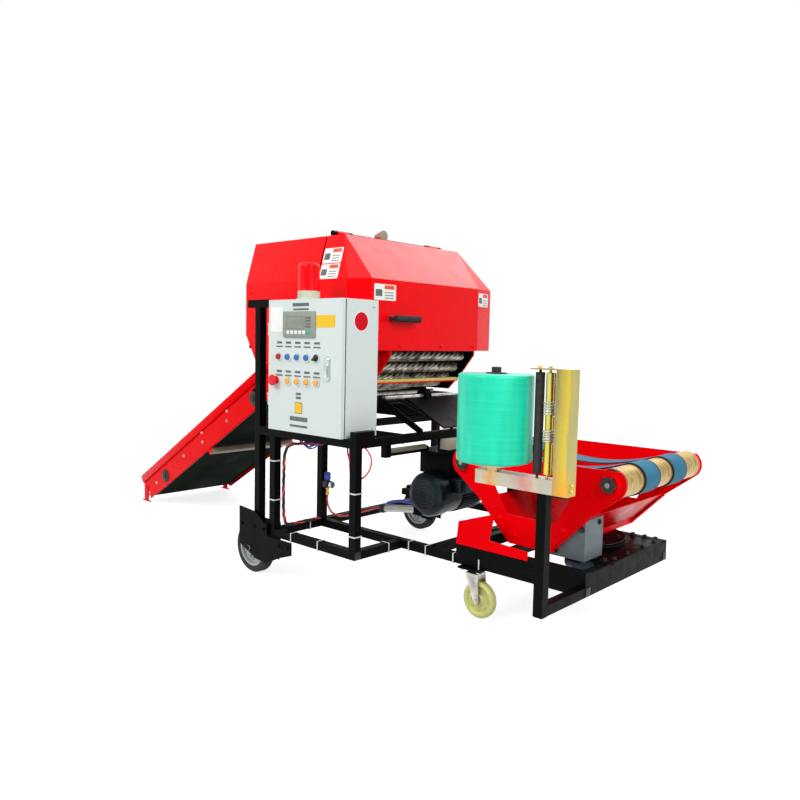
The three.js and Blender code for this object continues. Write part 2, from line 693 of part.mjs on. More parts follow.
function addCabinet() {
  const front = cabinet.front + door.depth + door.gap;
  const back = cabinet.front + cabinet.depth;
  const bottom = deckTop + seat;
  const top = bottom + cabinet.height;
  const t = cabinet.wall;
  const sides = [cabinet.left, cabinet.right];
  const shell = cut(
    box(sides, [front, back], [bottom, top]),
    box([cabinet.left + t, cabinet.right - t], [front - 1, back - t], [bottom + t, top - t]),
  );
  const knuckles = [];
  const lugs = [];
  for (const z of [bottom + 90, top - 130]) {
    const knuckleZ = [z, z + 40];
    const lugZ = [knuckleZ[1] + seat, knuckleZ[1] + seat + 5];
    knuckles.push(
      barZ(door.hingeX, door.hingeY, 4, knuckleZ, 16),
      box([door.hingeX - 3, door.hingeX], [door.hingeY, front + 24], knuckleZ),
      box([door.hingeX - 3, cabinet.left + 1], [front + 6, front + 24], knuckleZ),
    );
    lugs.push(box([door.hingeX - 4, cabinet.left + 2], [door.hingeY - 4, door.hingeY + 4], lugZ));
  }
  add('cabinet_body', join(shell, ...knuckles), paint.cabinet);

  const doorBack = cabinet.front + door.depth;
  const tray = cut(
    box(sides, [cabinet.front, doorBack], [bottom, top]),
    box(
      [cabinet.left + 2, cabinet.right - 2],
      [cabinet.front + door.plate, doorBack + 1],
      [bottom + 2, top - 2],
    ),
  );
  add('cabinet_door', join(tray, ...lugs), paint.cabinet);

  const face = cabinet.front - seat;
  add('control_display', join(
    box([-366, -192], [face - 8, face], [bottom + 344.7, bottom + 436.7]),
    box([-342, -250], [face - 10, face - 7], [bottom + 376.7, bottom + 418.7]),
  ), paint.panelGrey);

  const knob = (x, z, radius, length) => {
    const bezel = barY(x, z, 15, [face - 8, face - 2], 24);
    return join(bezel, barY(x, z, radius, [face - length, face - 7], 24));
  };
  const spacing = 52;
  const upperZ = bottom + 272.7;
  const lowerZ = bottom + 185.7;
  const upperX = [0, 1, 2, 3, 4].map((i) => -393 + i * spacing);
  const strip = (z, from, to) => box([from - 22, to + 22], [face - 3, face], [z - 19, z + 19]);
  add('upper_buttons', join(
    strip(upperZ, upperX[0], upperX[4]),
    ...upperX.map((x) => knob(x, upperZ, 11, 15)),
  ), paint.blue);
  const lowerX = [0, 1, 2, 3].map((i) => -340 + i * spacing);
  add('lower_buttons', join(
    strip(lowerZ, lowerX[0], lowerX[3]),
    ...lowerX.map((x) => knob(x, lowerZ, 11, 15)),
  ), paint.yellow);
  add('emergency_stop', join(
    barY(-410, lowerZ, 15, [face - 12, face], 24),
    barY(-410, lowerZ, 20, [face - 28, face - 11], 32),
  ), paint.redPlastic);
  add('door_lock', join(
    box([-139, -113], [face - 9, face], [bottom + 196.7, bottom + 282.7]),
    box([-133, -119], [face - 16, face - 8], [bottom + 204.7, bottom + 264.7]),
  ), paint.steel);

  const lampX = -325;
  const lampY = 62;
  const lampBase = top + seat;
  add('beacon_base', join(
    barZ(lampX, lampY, 40, [lampBase, lampBase + 34], 32),
    barZ(lampX, lampY, 46, [lampBase, lampBase + 6], 32),
  ), paint.beaconGrey);
  const lens = lampBase + 34 + seat;
  const dome = [[0, 0], [38, 0], [38, 78], [34, 92], [24, 100], [0, 104]];
  add('beacon_lens', turned(dome, 32).translate([lampX, lampY, lens]), paint.lens);
}

// ---------------------------------------------------------------- wrapping table

const baseTop = railTop + seat + table.baseHeight;
const plateBottom = baseTop + 10 + seat;
const plateTop = plateBottom + table.plate;

function addTableBase() {
  const left = 252;
  const z = [railTop + seat, baseTop];
  const nearBeamTop = plateBottom - running;
  const wrapY = [wrapFar, wrapFar + tube];
  const across = [nearRail, wrapFar + tube];
  add('table_base', join(
    box([left, frameRight], nearY, [railTop + seat, nearBeamTop]),
    box([left, frameRight], wrapY, z),
    box(tubeX(left), across, z),
    box([frameRight - tube, frameRight], across, z),
    box([left, frameRight], [table.y - 65, table.y - 35], z),
    box([left, frameRight], [table.y + 35, table.y + 65], z),
    barZ(table.x, table.y, 80, [z[0], baseTop + 10], 48),
  ), paint.black);
  const guardFoot = nearBeamTop - 5;
  const guard = [[254, guardFoot], [262, 318], [408, 367], [391, 276], [539, 268], [539, guardFoot]];
  add('side_guard', plateY(guard, [nearRail - seat - 4, nearRail - seat]), paint.red);
}

const cradleNear = table.y - cradle.width / 2;
const cradleFar = table.y + cradle.width / 2;

function cradlePlate([y0, y1], bearing) {
  const { reach, rollerZ, top, nose } = cradle;
  const upper = Math.asin((top - rollerZ) / nose);
  const lower = THREE.MathUtils.degToRad(-42);
  const round = [];
  for (let i = 0; i <= 6; i += 1) {
    const angle = upper + ((lower - upper) * i) / 6;
    round.push([reach + nose * Math.cos(angle), rollerZ + nose * Math.sin(angle)]);
  }
  const right = round.map(([dx, z]) => [table.x + dx, z]);
  const left = round.map(([dx, z]) => [table.x - dx, z]).reverse();
  const base = plateTop + seat;
  const lowerEdge = [[202, 389], [70, base]];
  const outline = [
    ...right,
    ...lowerEdge.map(([dx, z]) => [table.x + dx, z]),
    ...lowerEdge.map(([dx, z]) => [table.x - dx, z]).reverse(),
    ...left,
  ];
  const window = [[-145, 445], [145, 445], [92, 356], [-92, 356]].map(([dx, z]) => [table.x + dx, z]);
  const bearings = [-reach, reach].map((dx) => barY(table.x + dx, rollerZ, 30, bearing, 24));
  const bores = [-reach, reach].map((dx) => (
    barY(table.x + dx, rollerZ, 10 + seat, [bearing[0] - 20, bearing[1] + 20], 24)));
  return cut(join(plateY(outline, [y0, y1], [window]), ...bearings), ...bores);
}

// Centre line of a slack belt around both cradle rollers, at a given distance from them.
function beltLoop(radius) {
  const { reach, rollerZ } = cradle;
  const points = [];
  const steps = 12;
  const slope = (sag) => Math.atan((4 * sag) / (2 * reach));
  const top = slope(belt.sagTop);
  const under = slope(belt.sagBottom);
  const run = (from, to, sag) => {
    for (let i = 1; i < steps; i += 1) {
      const t = i / steps;
      const x = from[0] + (to[0] - from[0]) * t;
      points.push([x, from[1] + (to[1] - from[1]) * t - 4 * sag * t * (1 - t)]);
    }
  };
  const at = (side, angle) => [
    table.x + side * (reach + radius * Math.cos(angle)), rollerZ + radius * Math.sin(angle),
  ];
  const arc = (side, from, to) => {
    for (let i = 0; i <= 10; i += 1) {
      points.push(at(side, from + ((to - from) * i) / 10));
    }
  };
  const upperAngle = Math.PI / 2 + top;
  const lowerAngle = -Math.PI / 2 + under;
  arc(1, upperAngle, lowerAngle);
  run(at(1, lowerAngle), at(-1, lowerAngle), belt.sagBottom);
  arc(-1, lowerAngle, upperAngle);
  run(at(-1, upperAngle), at(1, upperAngle), belt.sagTop);
  return points;
}

function addCradle() {
  const nearPlate = [cradleNear, cradleNear + cradle.plate];
  const farPlate = [cradleFar - cradle.plate, cradleFar];
  const between = [nearPlate[1] + seat, farPlate[0] - seat];
  const tray = [[80, 278], [200, 392], [197, 395], [77, 281]];
  const trays = [-1, 1].map((side) => (
    plateY(tray.map(([dx, z]) => [table.x + side * dx, z]), [nearPlate[0], farPlate[1]])));
  add('cradle_frame', join(
    cradlePlate(nearPlate, [nearPlate[0] - 10, nearPlate[0] + 1]),
    cradlePlate(farPlate, [farPlate[1] - 1, farPlate[1] + 10]),
    box([table.x - 82, table.x + 82], [nearPlate[0], farPlate[1]], [plateTop + seat, plateTop + 20]),
    ...trays,
  ), paint.red);

  for (const [name, side] of [['front', 1], ['back', -1]]) {
    const x = table.x + side * cradle.reach;
    add(`cradle_${name}_roller`, join(
      barY(x, cradle.rollerZ, cradle.roller, [between[0] + 4, between[1] - 4], 40),
      barY(x, cradle.rollerZ, 10, [nearPlate[0] - 16, farPlate[1] + 16], 20),
    ), paint.zinc);
  }

  const chordRise = 1.016; // keeps the flats of the loop off the round roller
  const inner = (cradle.roller + seat) * chordRise;
  for (const [name, side] of [['near', -1], ['far', 1]]) {
    const centre = table.y + side * belt.offset;
    const span = [centre - belt.width / 2, centre + belt.width / 2];
    const outline = beltLoop(inner + belt.thickness);
    add(`cradle_${name}_belt`, plateY(outline, span, [beltLoop(inner)]), paint.beltBlue);
  }
}

// The folded bracket that carries one corner of the cradle: a box open at the back, whose top
// follows the slope of the cradle. side is 1 for the front corner and -1 for the one across.
function cradleBracket(side) {
  const t = 5;
  const slope = (dx) => 278 + ((dx - 80) * 114) / 120 - 2;
  const at = (dx) => table.x + side * dx;
  const [dx0, dx1] = [95, 190];
  const [far, near] = [side * -160, side * -275];
  const span = [Math.min(far, near), Math.max(far, near)].map((dy) => table.y + dy);
  const outline = [
    [at(dx0), plateTop - 1], [at(dx1), plateTop - 1], [at(dx1), slope(dx1)], [at(dx0), slope(dx0)],
  ];
  const hollow = [
    [at(dx0 - 1), plateTop + t], [at(dx1 - t), plateTop + t], [at(dx1 - t), 500], [at(dx0 - 1), 500],
  ];
  const inner = side > 0 ? [span[0] + t, span[1] + 1] : [span[0] - 1, span[1] - t];
  return {
    shell: cut(plateY(outline, span), plateY(hollow, inner)),
    foot: box([Math.min(at(60), at(dx1)), Math.max(at(60), at(dx1))], span, [plateBottom, plateTop]),
  };
}

function addTurntable() {
  const brackets = [cradleBracket(1), cradleBracket(-1)];
  add('turntable_plate', join(
    barZ(table.x, table.y, table.plateRadius, [plateBottom, plateTop], 64),
    ...brackets.flatMap(({ shell, foot }) => [foot, shell]),
  ), paint.bracket);
  addCradle();
}

// ---------------------------------------------------------------- film stand

function addFilmStand() {
  const { left, right, top, leg, thickness } = filmArm;
  const legY = [-thickness - seat, -seat];
  const postZ = [railBottom, top - thickness - seat];
  add('film_post', box([frameRight - tube, frameRight], standY, postZ), paint.black);

  const spindleTop = filmRoll.bottom + filmRoll.height + 18;
  add('film_arm', join(
    box([left, right], legY, [top - leg, top]),
    box([left, right], [legY[0], channel.far], [top - thickness, top]),
    barZ(filmRoll.x, filmRoll.y, 22, [top - 1, filmRoll.bottom - 10], 24),
    barZ(filmRoll.x, filmRoll.y, 58, [filmRoll.bottom - 11, filmRoll.bottom - seat], 32),
    barZ(filmRoll.x, filmRoll.y, 12, [filmRoll.bottom - 1, spindleTop], 24),
  ), paint.zinc);
  const half = filmRoll.height;
  const profile = [
    [12.6, 0], [filmRoll.radius - 4, 0], [filmRoll.radius, 4], [filmRoll.radius, half - 4],
    [filmRoll.radius - 4, half], [12.6, half],
  ];
  add('film_roll', turned(profile, 64).translate([filmRoll.x, filmRoll.y, filmRoll.bottom]), paint.film);

  for (const [name, finish] of [['black', paint.grip], ['gold', paint.yellowZinc]]) {
    const { x, radius } = stretch[name];
    add(`stretch_roller_${name}`, join(
      barZ(x, stretch.y, radius, [top + 10, stretch.top - 8], 24),
      barZ(x, stretch.y, 4, [top + seat, stretch.top - seat], 16),
    ), finish);
  }

  const t = channel.thickness;
  const channelLeft = right + seat;
  const channelZ = [top - leg, stretch.top + t];
  add('film_channel', join(
    box([channelLeft, channel.right], [channel.near, channel.near + t], channelZ),
    box([channel.right - t, channel.right], [channel.near, channel.far], channelZ),
    box([channelLeft, channel.right], [channel.far - t, channel.far], channelZ),
    box([stretch.black.x - 18, channel.right], [channel.near, channel.far], [stretch.top, channelZ[1]]),
  ), paint.yellowZinc);
}

// ---------------------------------------------------------------- assembly

addBaseFrame();
addMachineStand();
addNearFork();
addFixedWheel('near', 0);
addFarFork();
addCaster('near', nearRail + tube / 2);
addCaster('far', farRail + tube / 2);
addConveyor();
addChamberWalls();
addFixedHood();
addTailgateHinge();
addTailgate();
addExitRamp();
addMotor();
addAirLine();
addCabinet();
addTableBase();
addTurntable();
addFilmStand();

export default machine;
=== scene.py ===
"""Looks for a small stationary round baler with its bale wrapping table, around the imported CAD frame."""

from math import asin, atan, cos, pi, radians, sin
from types import SimpleNamespace

import bmesh
import bpy
from mathutils import Matrix, Vector, noise


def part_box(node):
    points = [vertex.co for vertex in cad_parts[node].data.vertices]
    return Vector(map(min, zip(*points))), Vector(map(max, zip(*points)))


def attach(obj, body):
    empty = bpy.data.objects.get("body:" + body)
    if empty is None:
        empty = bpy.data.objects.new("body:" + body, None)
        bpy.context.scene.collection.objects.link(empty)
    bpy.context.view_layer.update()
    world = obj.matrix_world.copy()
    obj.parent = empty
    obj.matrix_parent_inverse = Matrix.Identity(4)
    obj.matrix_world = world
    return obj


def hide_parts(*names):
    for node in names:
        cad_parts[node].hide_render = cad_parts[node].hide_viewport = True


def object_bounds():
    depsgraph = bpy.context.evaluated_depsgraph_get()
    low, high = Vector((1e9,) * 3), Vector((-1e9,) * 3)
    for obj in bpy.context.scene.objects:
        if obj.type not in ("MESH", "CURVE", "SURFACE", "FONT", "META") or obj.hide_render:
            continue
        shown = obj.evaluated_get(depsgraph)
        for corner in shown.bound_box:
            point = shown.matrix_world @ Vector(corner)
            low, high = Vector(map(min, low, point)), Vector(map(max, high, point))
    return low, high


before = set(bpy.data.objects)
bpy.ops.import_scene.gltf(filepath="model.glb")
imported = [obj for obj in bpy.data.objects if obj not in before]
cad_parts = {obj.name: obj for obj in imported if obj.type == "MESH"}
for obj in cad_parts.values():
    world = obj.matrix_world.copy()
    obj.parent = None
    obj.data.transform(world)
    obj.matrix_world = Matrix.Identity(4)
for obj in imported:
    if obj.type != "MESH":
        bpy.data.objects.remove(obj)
cad_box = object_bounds()
noise.seed_set(6)  # without a seed, the noise vectors would follow the clock

# ---------------------------------------------------------------- measures

MM = 0.001
stand_low, stand_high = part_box("machine_stand")
CORNER = Vector((stand_high.x, stand_low.y, 0.0))  # the stand's outer corner, on the floor
X, Y, Z = Vector((1, 0, 0)), Vector((0, 1, 0)), Vector((0, 0, 1))

# Millimetres from that corner, all read from the source.
TUBE = 30.0  # the square tube of the frames
STAND_LEFT = -471.0
RAIL_LOW, RAIL_TOP = 170.0, 200.0  # the lower rails
RAIL_MIDDLE = (RAIL_LOW + RAIL_TOP) / 2
NEAR_RAIL, FAR_RAIL = 240.0, 950.0  # the near faces of the long rails
DECK_LOW = 555.0  # the underside of the deck
TABLE_RIGHT = 743.0  # the table's outer side


def at(x, y, z):
    """A point in the row frame, from millimetres measured from the stand's outer corner."""
    return CORNER + Vector((x, y, z)) * MM


def limits(node):
    """The box of a CAD node, in millimetres from the stand's outer corner."""
    low, high = ((corner - CORNER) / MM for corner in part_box(node))
    box = SimpleNamespace(x=(low.x, high.x), y=(low.y, high.y), z=(low.z, high.z))
    box.middle = (low + high) / 2
    box.size = high - low
    box.radius = box.size.x / 2
    return box


# ---------------------------------------------------------------- geometry


def around(count, first=0.0):
    """Equal steps round a circle, in radians, from a first angle in degrees."""
    return [radians(first) + 2 * pi * i / count for i in range(count)]


def spun(centre, side, up, angle, radius):
    """The point at an angle and a radius, in the plane of two directions."""
    return Vector(centre) + (side * cos(angle) + up * sin(angle)) * radius


def across(axis):
    """Two directions that make a right-handed frame with a given axis."""
    axis = axis.normalized()
    side = axis.cross(Z if abs(axis.z) < 0.9 else X).normalized()
    return side, axis.cross(side)


def curve_through(route, steps):
    """More points along a smooth curve that passes through the given ones."""
    points = [Vector(point) for point in route]
    padded = [2 * points[0] - points[1], *points, 2 * points[-1] - points[-2]]
    made = []
    for a, b, c, d in zip(padded, padded[1:], padded[2:], padded[3:]):
        for t in (i / steps for i in range(steps)):
            made.append(0.5 * (
                2 * b + (c - a) * t + (2 * a - 5 * b + 4 * c - d) * t * t + (3 * b - a - 3 * c + d) * t ** 3
            ))
    made.append(points[-1])
    return made


def frames_along(points):
    """Each point of a curve with two directions across it, which turn as little as they can."""
    side = None
    for i, point in enumerate(points):
        ahead = (points[min(i + 1, len(points) - 1)] - points[max(i - 1, 0)]).normalized()
        side = across(ahead)[0] if side is None else (side - ahead * side.dot(ahead)).normalized()
        yield point, side, ahead.cross(side)


def mirrored(half, length, middle=()):
    """A profile whose end repeats its start backwards, within a length."""
    return [*half, *middle, *((radius, length - height) for radius, height in reversed(half))]


def facing_out(near, far, spots):
    """The same places, each an x and a z, on a near and a far face, with the way that each face looks."""
    return [((x, y, z), way) for x, z in spots for y, way in ((near, -Y), (far, Y))]


class Shape:
    """A mesh that is built up in millimetres from the stand's outer corner."""

    def __init__(self):
        self.mesh = bmesh.new()

    def rings(self, rings, loop=False):
        """A skin through rings of points, capped at both ends or looped from the last ring to the first."""
        made = [[self.mesh.verts.new(point) for point in ring] for ring in rings]
        count = len(made[0])
        for lower, upper in zip(made, made[1:] + made[:1] if loop else made[1:]):
            for i in range(count):
                j = (i + 1) % count
                self.mesh.faces.new((lower[i], lower[j], upper[j], upper[i]))
        if not loop:
            self.mesh.faces.new(list(reversed(made[0])))
            self.mesh.faces.new(made[-1])
        return self

    def box(self, x, y, z, bevel=1.0):
        """A block between three pairs of limits, with rounded edges."""
        made = bmesh.ops.create_cube(self.mesh, size=1.0)["verts"]
        for vert in made:
            vert.co = Vector(
                (low + high) / 2 + share * (high - low)
                for share, (low, high) in zip(vert.co, (x, y, z))
            )
        edges = {edge for vert in made for edge in vert.link_edges}
        bmesh.ops.bevel(self.mesh, geom=list(edges), offset=bevel, segments=2, profile=0.5, affect="EDGES")
        return self

    def lathe(self, profile, base, axis, sides=48):
        """Turns pairs of radius and height about an axis, closed where the profile ends at radius 0."""
        side, up = across(axis)
        axis, base = axis.normalized(), Vector(base)
        solid = profile[0][0] == 0 and profile[-1][0] == 0
        return self.rings([
            [spun(base + axis * height, side, up, angle, radius) for angle in around(sides)]
            for radius, height in (profile[1:-1] if solid else profile)
        ], loop=not solid)

    def rod(self, start, end, radius, sides=24, rim=0.6):
        """A round bar with small chamfers at its ends."""
        along = Vector(end) - Vector(start)
        profile = mirrored([(0, 0), (radius - rim, 0), (radius, rim)], along.length)
        return self.lathe(profile, start, along, sides)

    def tube(self, route, radius, sides=10, smooth=6):
        """A round tube along a smooth curve through the route's points."""
        return self.rings([
            [spun(point, side, up, angle, radius) for angle in around(sides)]
            for point, side, up in frames_along(curve_through(route, smooth))
        ])

    def bolt(self, place, outward, size, head, washer=True):
        """A hexagon head on its washer, lying on a surface that faces outward."""
        start = 0.0
        if washer:
            rim = size * 0.95
            self.lathe([(0, 0), (rim, 0), (rim, 1.2), (rim - 0.4, 1.6), (0, 1.6)], place, outward, 20)
            start = 1.4
        half, top = size * 0.58, start + head
        return self.lathe([(0, start), (half, start), (half, top - 0.8), (half - 0.9, top), (0, top)],
                          place, outward, 6)

    def place(self, name, material, body, slot, replaces=(), smooth=32.0, matrix=None):
        """Makes the object, which rides on a CAD body and takes the finish it is given; its slot is not used.
        """
        bmesh.ops.recalc_face_normals(self.mesh, faces=self.mesh.faces)
        if matrix is not None:
            self.mesh.transform(matrix)
        self.mesh.transform(Matrix.Translation(CORNER) @ Matrix.Scale(MM, 4))
        mesh = bpy.data.meshes.new(name)
        self.mesh.to_mesh(mesh)
        self.mesh.free()
        mesh.polygons.foreach_set("use_smooth", [True] * len(mesh.polygons))
        mesh.set_sharp_from_angle(angle=radians(smooth))
        mesh.materials.append(material)
        piece = bpy.data.objects.new(name, mesh)
        bpy.context.scene.collection.objects.link(piece)
        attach(piece, body)
        if replaces:
            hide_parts(*replaces)


def turned(name, finish, body, slot, profile, base, axis, sides=48, replaces=(), smooth=32.0):
    """A piece that is one turned profile."""
    Shape().lathe(profile, base, axis, sides).place(name, finish, body, slot, replaces, smooth)


def blocks(name, finish, body, slot, boxes, bevel=1.0, matrix=None):
    """A piece of rounded blocks, each three pairs of limits."""
    shape = Shape()
    for x, y, z in boxes:
        shape.box(x, y, z, bevel)
    shape.place(name, finish, body, slot, matrix=matrix)


def bolted(name, finish, body, slot, spots, size, head, washer=True):
    """A piece of equal bolts, each a place and the way that it faces."""
    shape = Shape()
    for place, outward in spots:
        shape.bolt(place, outward, size, head, washer)
    shape.place(name, finish, body, slot)


# ---------------------------------------------------------------- materials


def linear(code):
    """A linear RGBA colour from a hex code."""
    channels = [int(code[i:i + 2], 16) / 255 for i in (1, 3, 5)]
    return (*(c / 12.92 if c <= 0.04045 else ((c + 0.055) / 1.055) ** 2.4 for c in channels), 1.0)


def shaded(code, share):
    """The same colour, lighter or darker by a share."""
    return (*(min(1.0, c * share) for c in linear(code)[:3]), 1.0)


def add_node(tree, kind, inputs=(), **properties):
    """A node with its properties set, and its inputs set or linked."""
    made = tree.nodes.new(kind)
    for key, value in properties.items():
        setattr(made, key, value)
    for key, value in dict(inputs).items():
        if isinstance(value, bpy.types.NodeSocket):
            tree.links.new(value, made.inputs[key])
        else:
            made.inputs[key].default_value = value
    return made


def seen_directly(tree):
    """1 for what a camera, glossy or transmission ray meets, 0 for the rays that only carry light."""
    rays = add_node(tree, "ShaderNodeLightPath").outputs
    seen = rays["Is Camera Ray"]
    for kind in ("Is Glossy Ray", "Is Transmission Ray"):
        seen = add_node(tree, "ShaderNodeMath", {0: seen, 1: rays[kind]}, operation="MAXIMUM").outputs[0]
    return seen


class Finish:
    """The nodes of one material, around its Principled shader."""

    def __init__(self, name, **sockets):
        self.material = bpy.data.materials.new(name)
        self.material.use_nodes = True
        self.tree = self.material.node_tree
        self.shader = self.tree.nodes["Principled BSDF"]
        self.coordinates = self.node("ShaderNodeTexCoord").outputs["Object"]
        for socket, value in sockets.items():
            self.shader.inputs[socket.replace("_", " ")].default_value = value

    def node(self, kind, inputs=(), **properties):
        """A node in this material."""
        return add_node(self.tree, kind, inputs, **properties)

    def link(self, value, socket):
        """Feeds an input of the shader."""
        self.tree.links.new(value, self.shader.inputs[socket])

    def noise(self, scale, detail=3.0, stretch=(1, 1, 1)):
        """A cloudy pattern, scale is its features per metre."""
        mapped = self.node("ShaderNodeMapping", {"Vector": self.coordinates, "Scale": stretch})
        return self.node("ShaderNodeTexNoise", {
            "Vector": mapped.outputs[0], "Scale": scale, "Detail": detail, "Roughness": 0.55,
        }).outputs["Fac"]

    def between(self, fac, low, high, out_low=0.0, out_high=1.0):
        """A value taken from one range to another, and held at its ends."""
        return self.node("ShaderNodeMapRange", {
            "Value": fac, "From Min": low, "From Max": high, "To Min": out_low, "To Max": out_high,
        }).outputs[0]

    def ramp(self, fac, stops):
        """A colour that runs through stops, each a position and a colour or its hex code."""
        made = self.node("ShaderNodeValToRGB", {"Fac": fac})
        elements = made.color_ramp.elements
        while len(elements) < len(stops):
            elements.new(0.5)
        for element, (position, colour) in zip(elements, stops):
            element.position = position
            element.color = linear(colour) if isinstance(colour, str) else colour
        return made.outputs["Color"]

    def mix(self, fac, colour, code):
        """A colour with another laid over it, as far as fac says."""
        return self.node("ShaderNodeMix", {0: fac, 6: colour, 7: linear(code)}, data_type="RGBA").outputs[2]

    def maths(self, operation, first, second=0.0):
        """One step of arithmetic."""
        return self.node("ShaderNodeMath", {0: first, 1: second}, operation=operation).outputs[0]

    def axis(self, name):
        """The position along one axis, in metres."""
        return self.node("ShaderNodeSeparateXYZ", {0: self.coordinates}).outputs[name]

    def rounded(self, radius):
        """Surface directions that run smoothly over sharp edges."""
        return self.node("ShaderNodeBevel", {"Radius": radius * MM}, samples=4).outputs[0]

    def worn(self, rounded):
        """How near a point is to a sharp edge, broken up by noise."""
        plain = self.node("ShaderNodeNewGeometry").outputs["Normal"]
        dot = self.node("ShaderNodeVectorMath", {0: rounded, 1: plain}, operation="DOT_PRODUCT")
        edge = self.between(dot.outputs["Value"], 0.995, 0.9)
        return self.maths("MULTIPLY", edge, self.between(self.noise(38.0, 5.0), 0.42, 0.62))

    def done(self, colour, cloud, smooth, rough, height, depth, normal=None):
        """The material, with its colour, a gloss that drifts with a cloud, and a relief in millimetres."""
        self.link(colour, "Base Color")
        self.link(self.between(cloud, 0.3, 0.7, smooth, rough), "Roughness")
        inputs = {"Height": height, "Strength": 1.0, "Distance": depth * MM}
        if normal is not None:
            inputs["Normal"] = normal
        self.link(self.node("ShaderNodeBump", inputs).outputs[0], "Normal")
        return self.material


def coating(name, code, roughness, patch, change, grain, depth, edge=0.0, wear=None, **sockets):
    """Painted, plastic or plated surface: patchy colour, uneven gloss, fine grain and worn edges."""
    finish = Finish(name, **sockets)
    colour = finish.ramp(finish.noise(patch, 4.0), [
        (0.3, shaded(code, 1 - change)), (0.7, shaded(code, 1 + change)),
    ])
    normal = finish.rounded(edge) if edge else None
    if wear:
        colour = finish.mix(finish.worn(normal), colour, wear)
    return finish.done(colour, finish.noise(patch * 5, 5.0), roughness * 0.8, roughness * 1.25,
                       finish.noise(grain, 2.0), depth, normal)


def plated_metal(name, stops, roughness, patch, stretch, grain, depth, edge=0.0):
    """Zinc plated or brushed metal whose tint drifts over the sheet."""
    finish = Finish(name, Metallic=0.85, Coat_Weight=0.25, Coat_Roughness=0.2)
    return finish.done(finish.ramp(finish.noise(patch, 3.0, stretch), stops), finish.noise(60, 4.0, grain),
                       roughness * 0.7, roughness * 1.3, finish.noise(260, 3.0, grain), depth,
                       finish.rounded(edge) if edge else None)


def channel_colour_and_sheen(left, width, foot):
    """Yellow zinc with a painted sheen that runs from olive to bright yellow across the channel, and to
    orange at its foot; a painted grey-green sheen lies on the faces that look along +X.
    """
    finish = Finish("channel_zinc_and_painted_sheen", Metallic=0.75, Coat_Weight=0.25, Coat_Roughness=0.2)
    drift = finish.between(finish.noise(7.0, 4.0, (2.0, 2.0, 0.5)), 0.3, 0.7, -0.22, 0.22)
    # Painted sheen: the zinc's colour runs from olive to bright yellow across the channel in X.
    share = finish.between(finish.axis("X"), left, left + width)
    colour = finish.ramp(finish.maths("ADD", share, drift), [
        (0.0, "#8d8a52"), (0.28, "#b5a44e"), (0.5, "#c9b038"), (0.75, "#d2bb44"), (0.95, "#b0a55c"),
    ])
    height = finish.maths("ADD", finish.axis("Z"), finish.maths("MULTIPLY", drift, 0.2))
    low = finish.between(height, foot + 0.09, foot)
    colour = finish.mix(finish.maths("MULTIPLY", low, 0.55), colour, "#e8921e")
    # Painted sheen: faces that look along +X are laid over with grey-green.
    normal = finish.node("ShaderNodeNewGeometry").outputs["Normal"]
    side = finish.between(finish.node("ShaderNodeSeparateXYZ", {0: normal}).outputs["X"], 0.5, 0.9)
    colour = finish.mix(finish.maths("MULTIPLY", side, 0.5), colour, "#aca563")
    grain = (3, 3, 0.4)
    return finish.done(colour, finish.noise(60, 4.0, grain), 0.24, 0.42,
                       finish.noise(260, 3.0, grain), 0.02, finish.rounded(1.0))


def arm_finish(left, width):
    """Bright zinc with an orange stain near one end of the arm and a pink one past its middle."""
    finish = Finish("arm_zinc", Metallic=0.75, Coat_Weight=0.25, Coat_Roughness=0.2)
    drift = finish.between(finish.noise(22.0, 5.0), 0.3, 0.7, -0.07, 0.07)
    share = finish.maths("ADD", finish.between(finish.axis("X"), left, left + width), drift)
    colour = finish.ramp(share, [
        (0.0, "#b3ae9c"), (0.12, "#c3bda6"), (0.2, "#d99a4a"), (0.3, "#c8b792"), (0.42, "#bcb8a8"),
        (0.55, "#b9ab9c"), (0.66, "#c58a80"), (0.78, "#c4b39c"), (0.9, "#b3ae9c"),
    ])
    grain = (0.6, 3, 3)
    return finish.done(colour, finish.noise(60, 4.0, grain), 0.26, 0.42,
                       finish.noise(260, 3.0, grain), 0.02, finish.rounded(1.0))


def film_finish():
    """Wound stretch film: glossy, with fine turns round the roll and a few wrinkles."""
    finish = Finish("film", Coat_Weight=0.15, Coat_Roughness=0.2, Specular_IOR_Level=0.3)
    turns = finish.noise(9.0, 3.0, (0.4, 0.4, 16.0))
    streaks = finish.noise(6.0, 2.0, (3.0, 3.0, 0.4))
    tone = finish.maths("ADD", finish.maths("MULTIPLY", turns, 0.25), finish.maths("MULTIPLY", streaks, 0.75))
    colour = finish.ramp(tone, [(0.3, "#08bf95"), (0.5, "#18d6ae"), (0.7, "#34e6c2")])
    return finish.done(colour, turns, 0.28, 0.45, tone, 0.35)


def belt_finish(centre, width):
    """Blue webbing with dark edges, and a fine weave across it."""
    finish = Finish("cradle_belt", Specular_IOR_Level=0.25)
    offset = finish.maths("ABSOLUTE", finish.maths("SUBTRACT", finish.axis("Y"), centre))
    rim = finish.between(offset, (width / 2 - 8) * MM, (width / 2 - 6) * MM)
    weave = finish.node("ShaderNodeTexWave", {
        "Vector": finish.coordinates, "Scale": 160.0, "Distortion": 1.5,
    }, bands_direction="Y").outputs["Fac"]
    patches = finish.noise(14.0, 4.0)
    colour = finish.mix(rim, finish.ramp(patches, [(0.3, "#17607c"), (0.7, "#2a7896")]), "#0c1d24")
    return finish.done(colour, patches, 0.5, 0.7, weave, 0.25)


def green_belt_finish():
    """Rubber conveyor belt with a small diamond tread."""
    finish = Finish("conveyor_belt", Specular_IOR_Level=0.02)
    diamonds = finish.node("ShaderNodeTexVoronoi", {
        "Vector": finish.coordinates, "Scale": 120.0, "Randomness": 0.15,
    }).outputs["Distance"]
    dust = finish.noise(7.0, 5.0)
    colour = finish.ramp(dust, [(0.35, "#010a04"), (0.75, "#05160b")])
    return finish.done(colour, dust, 0.55, 0.8, diamonds, 0.6)


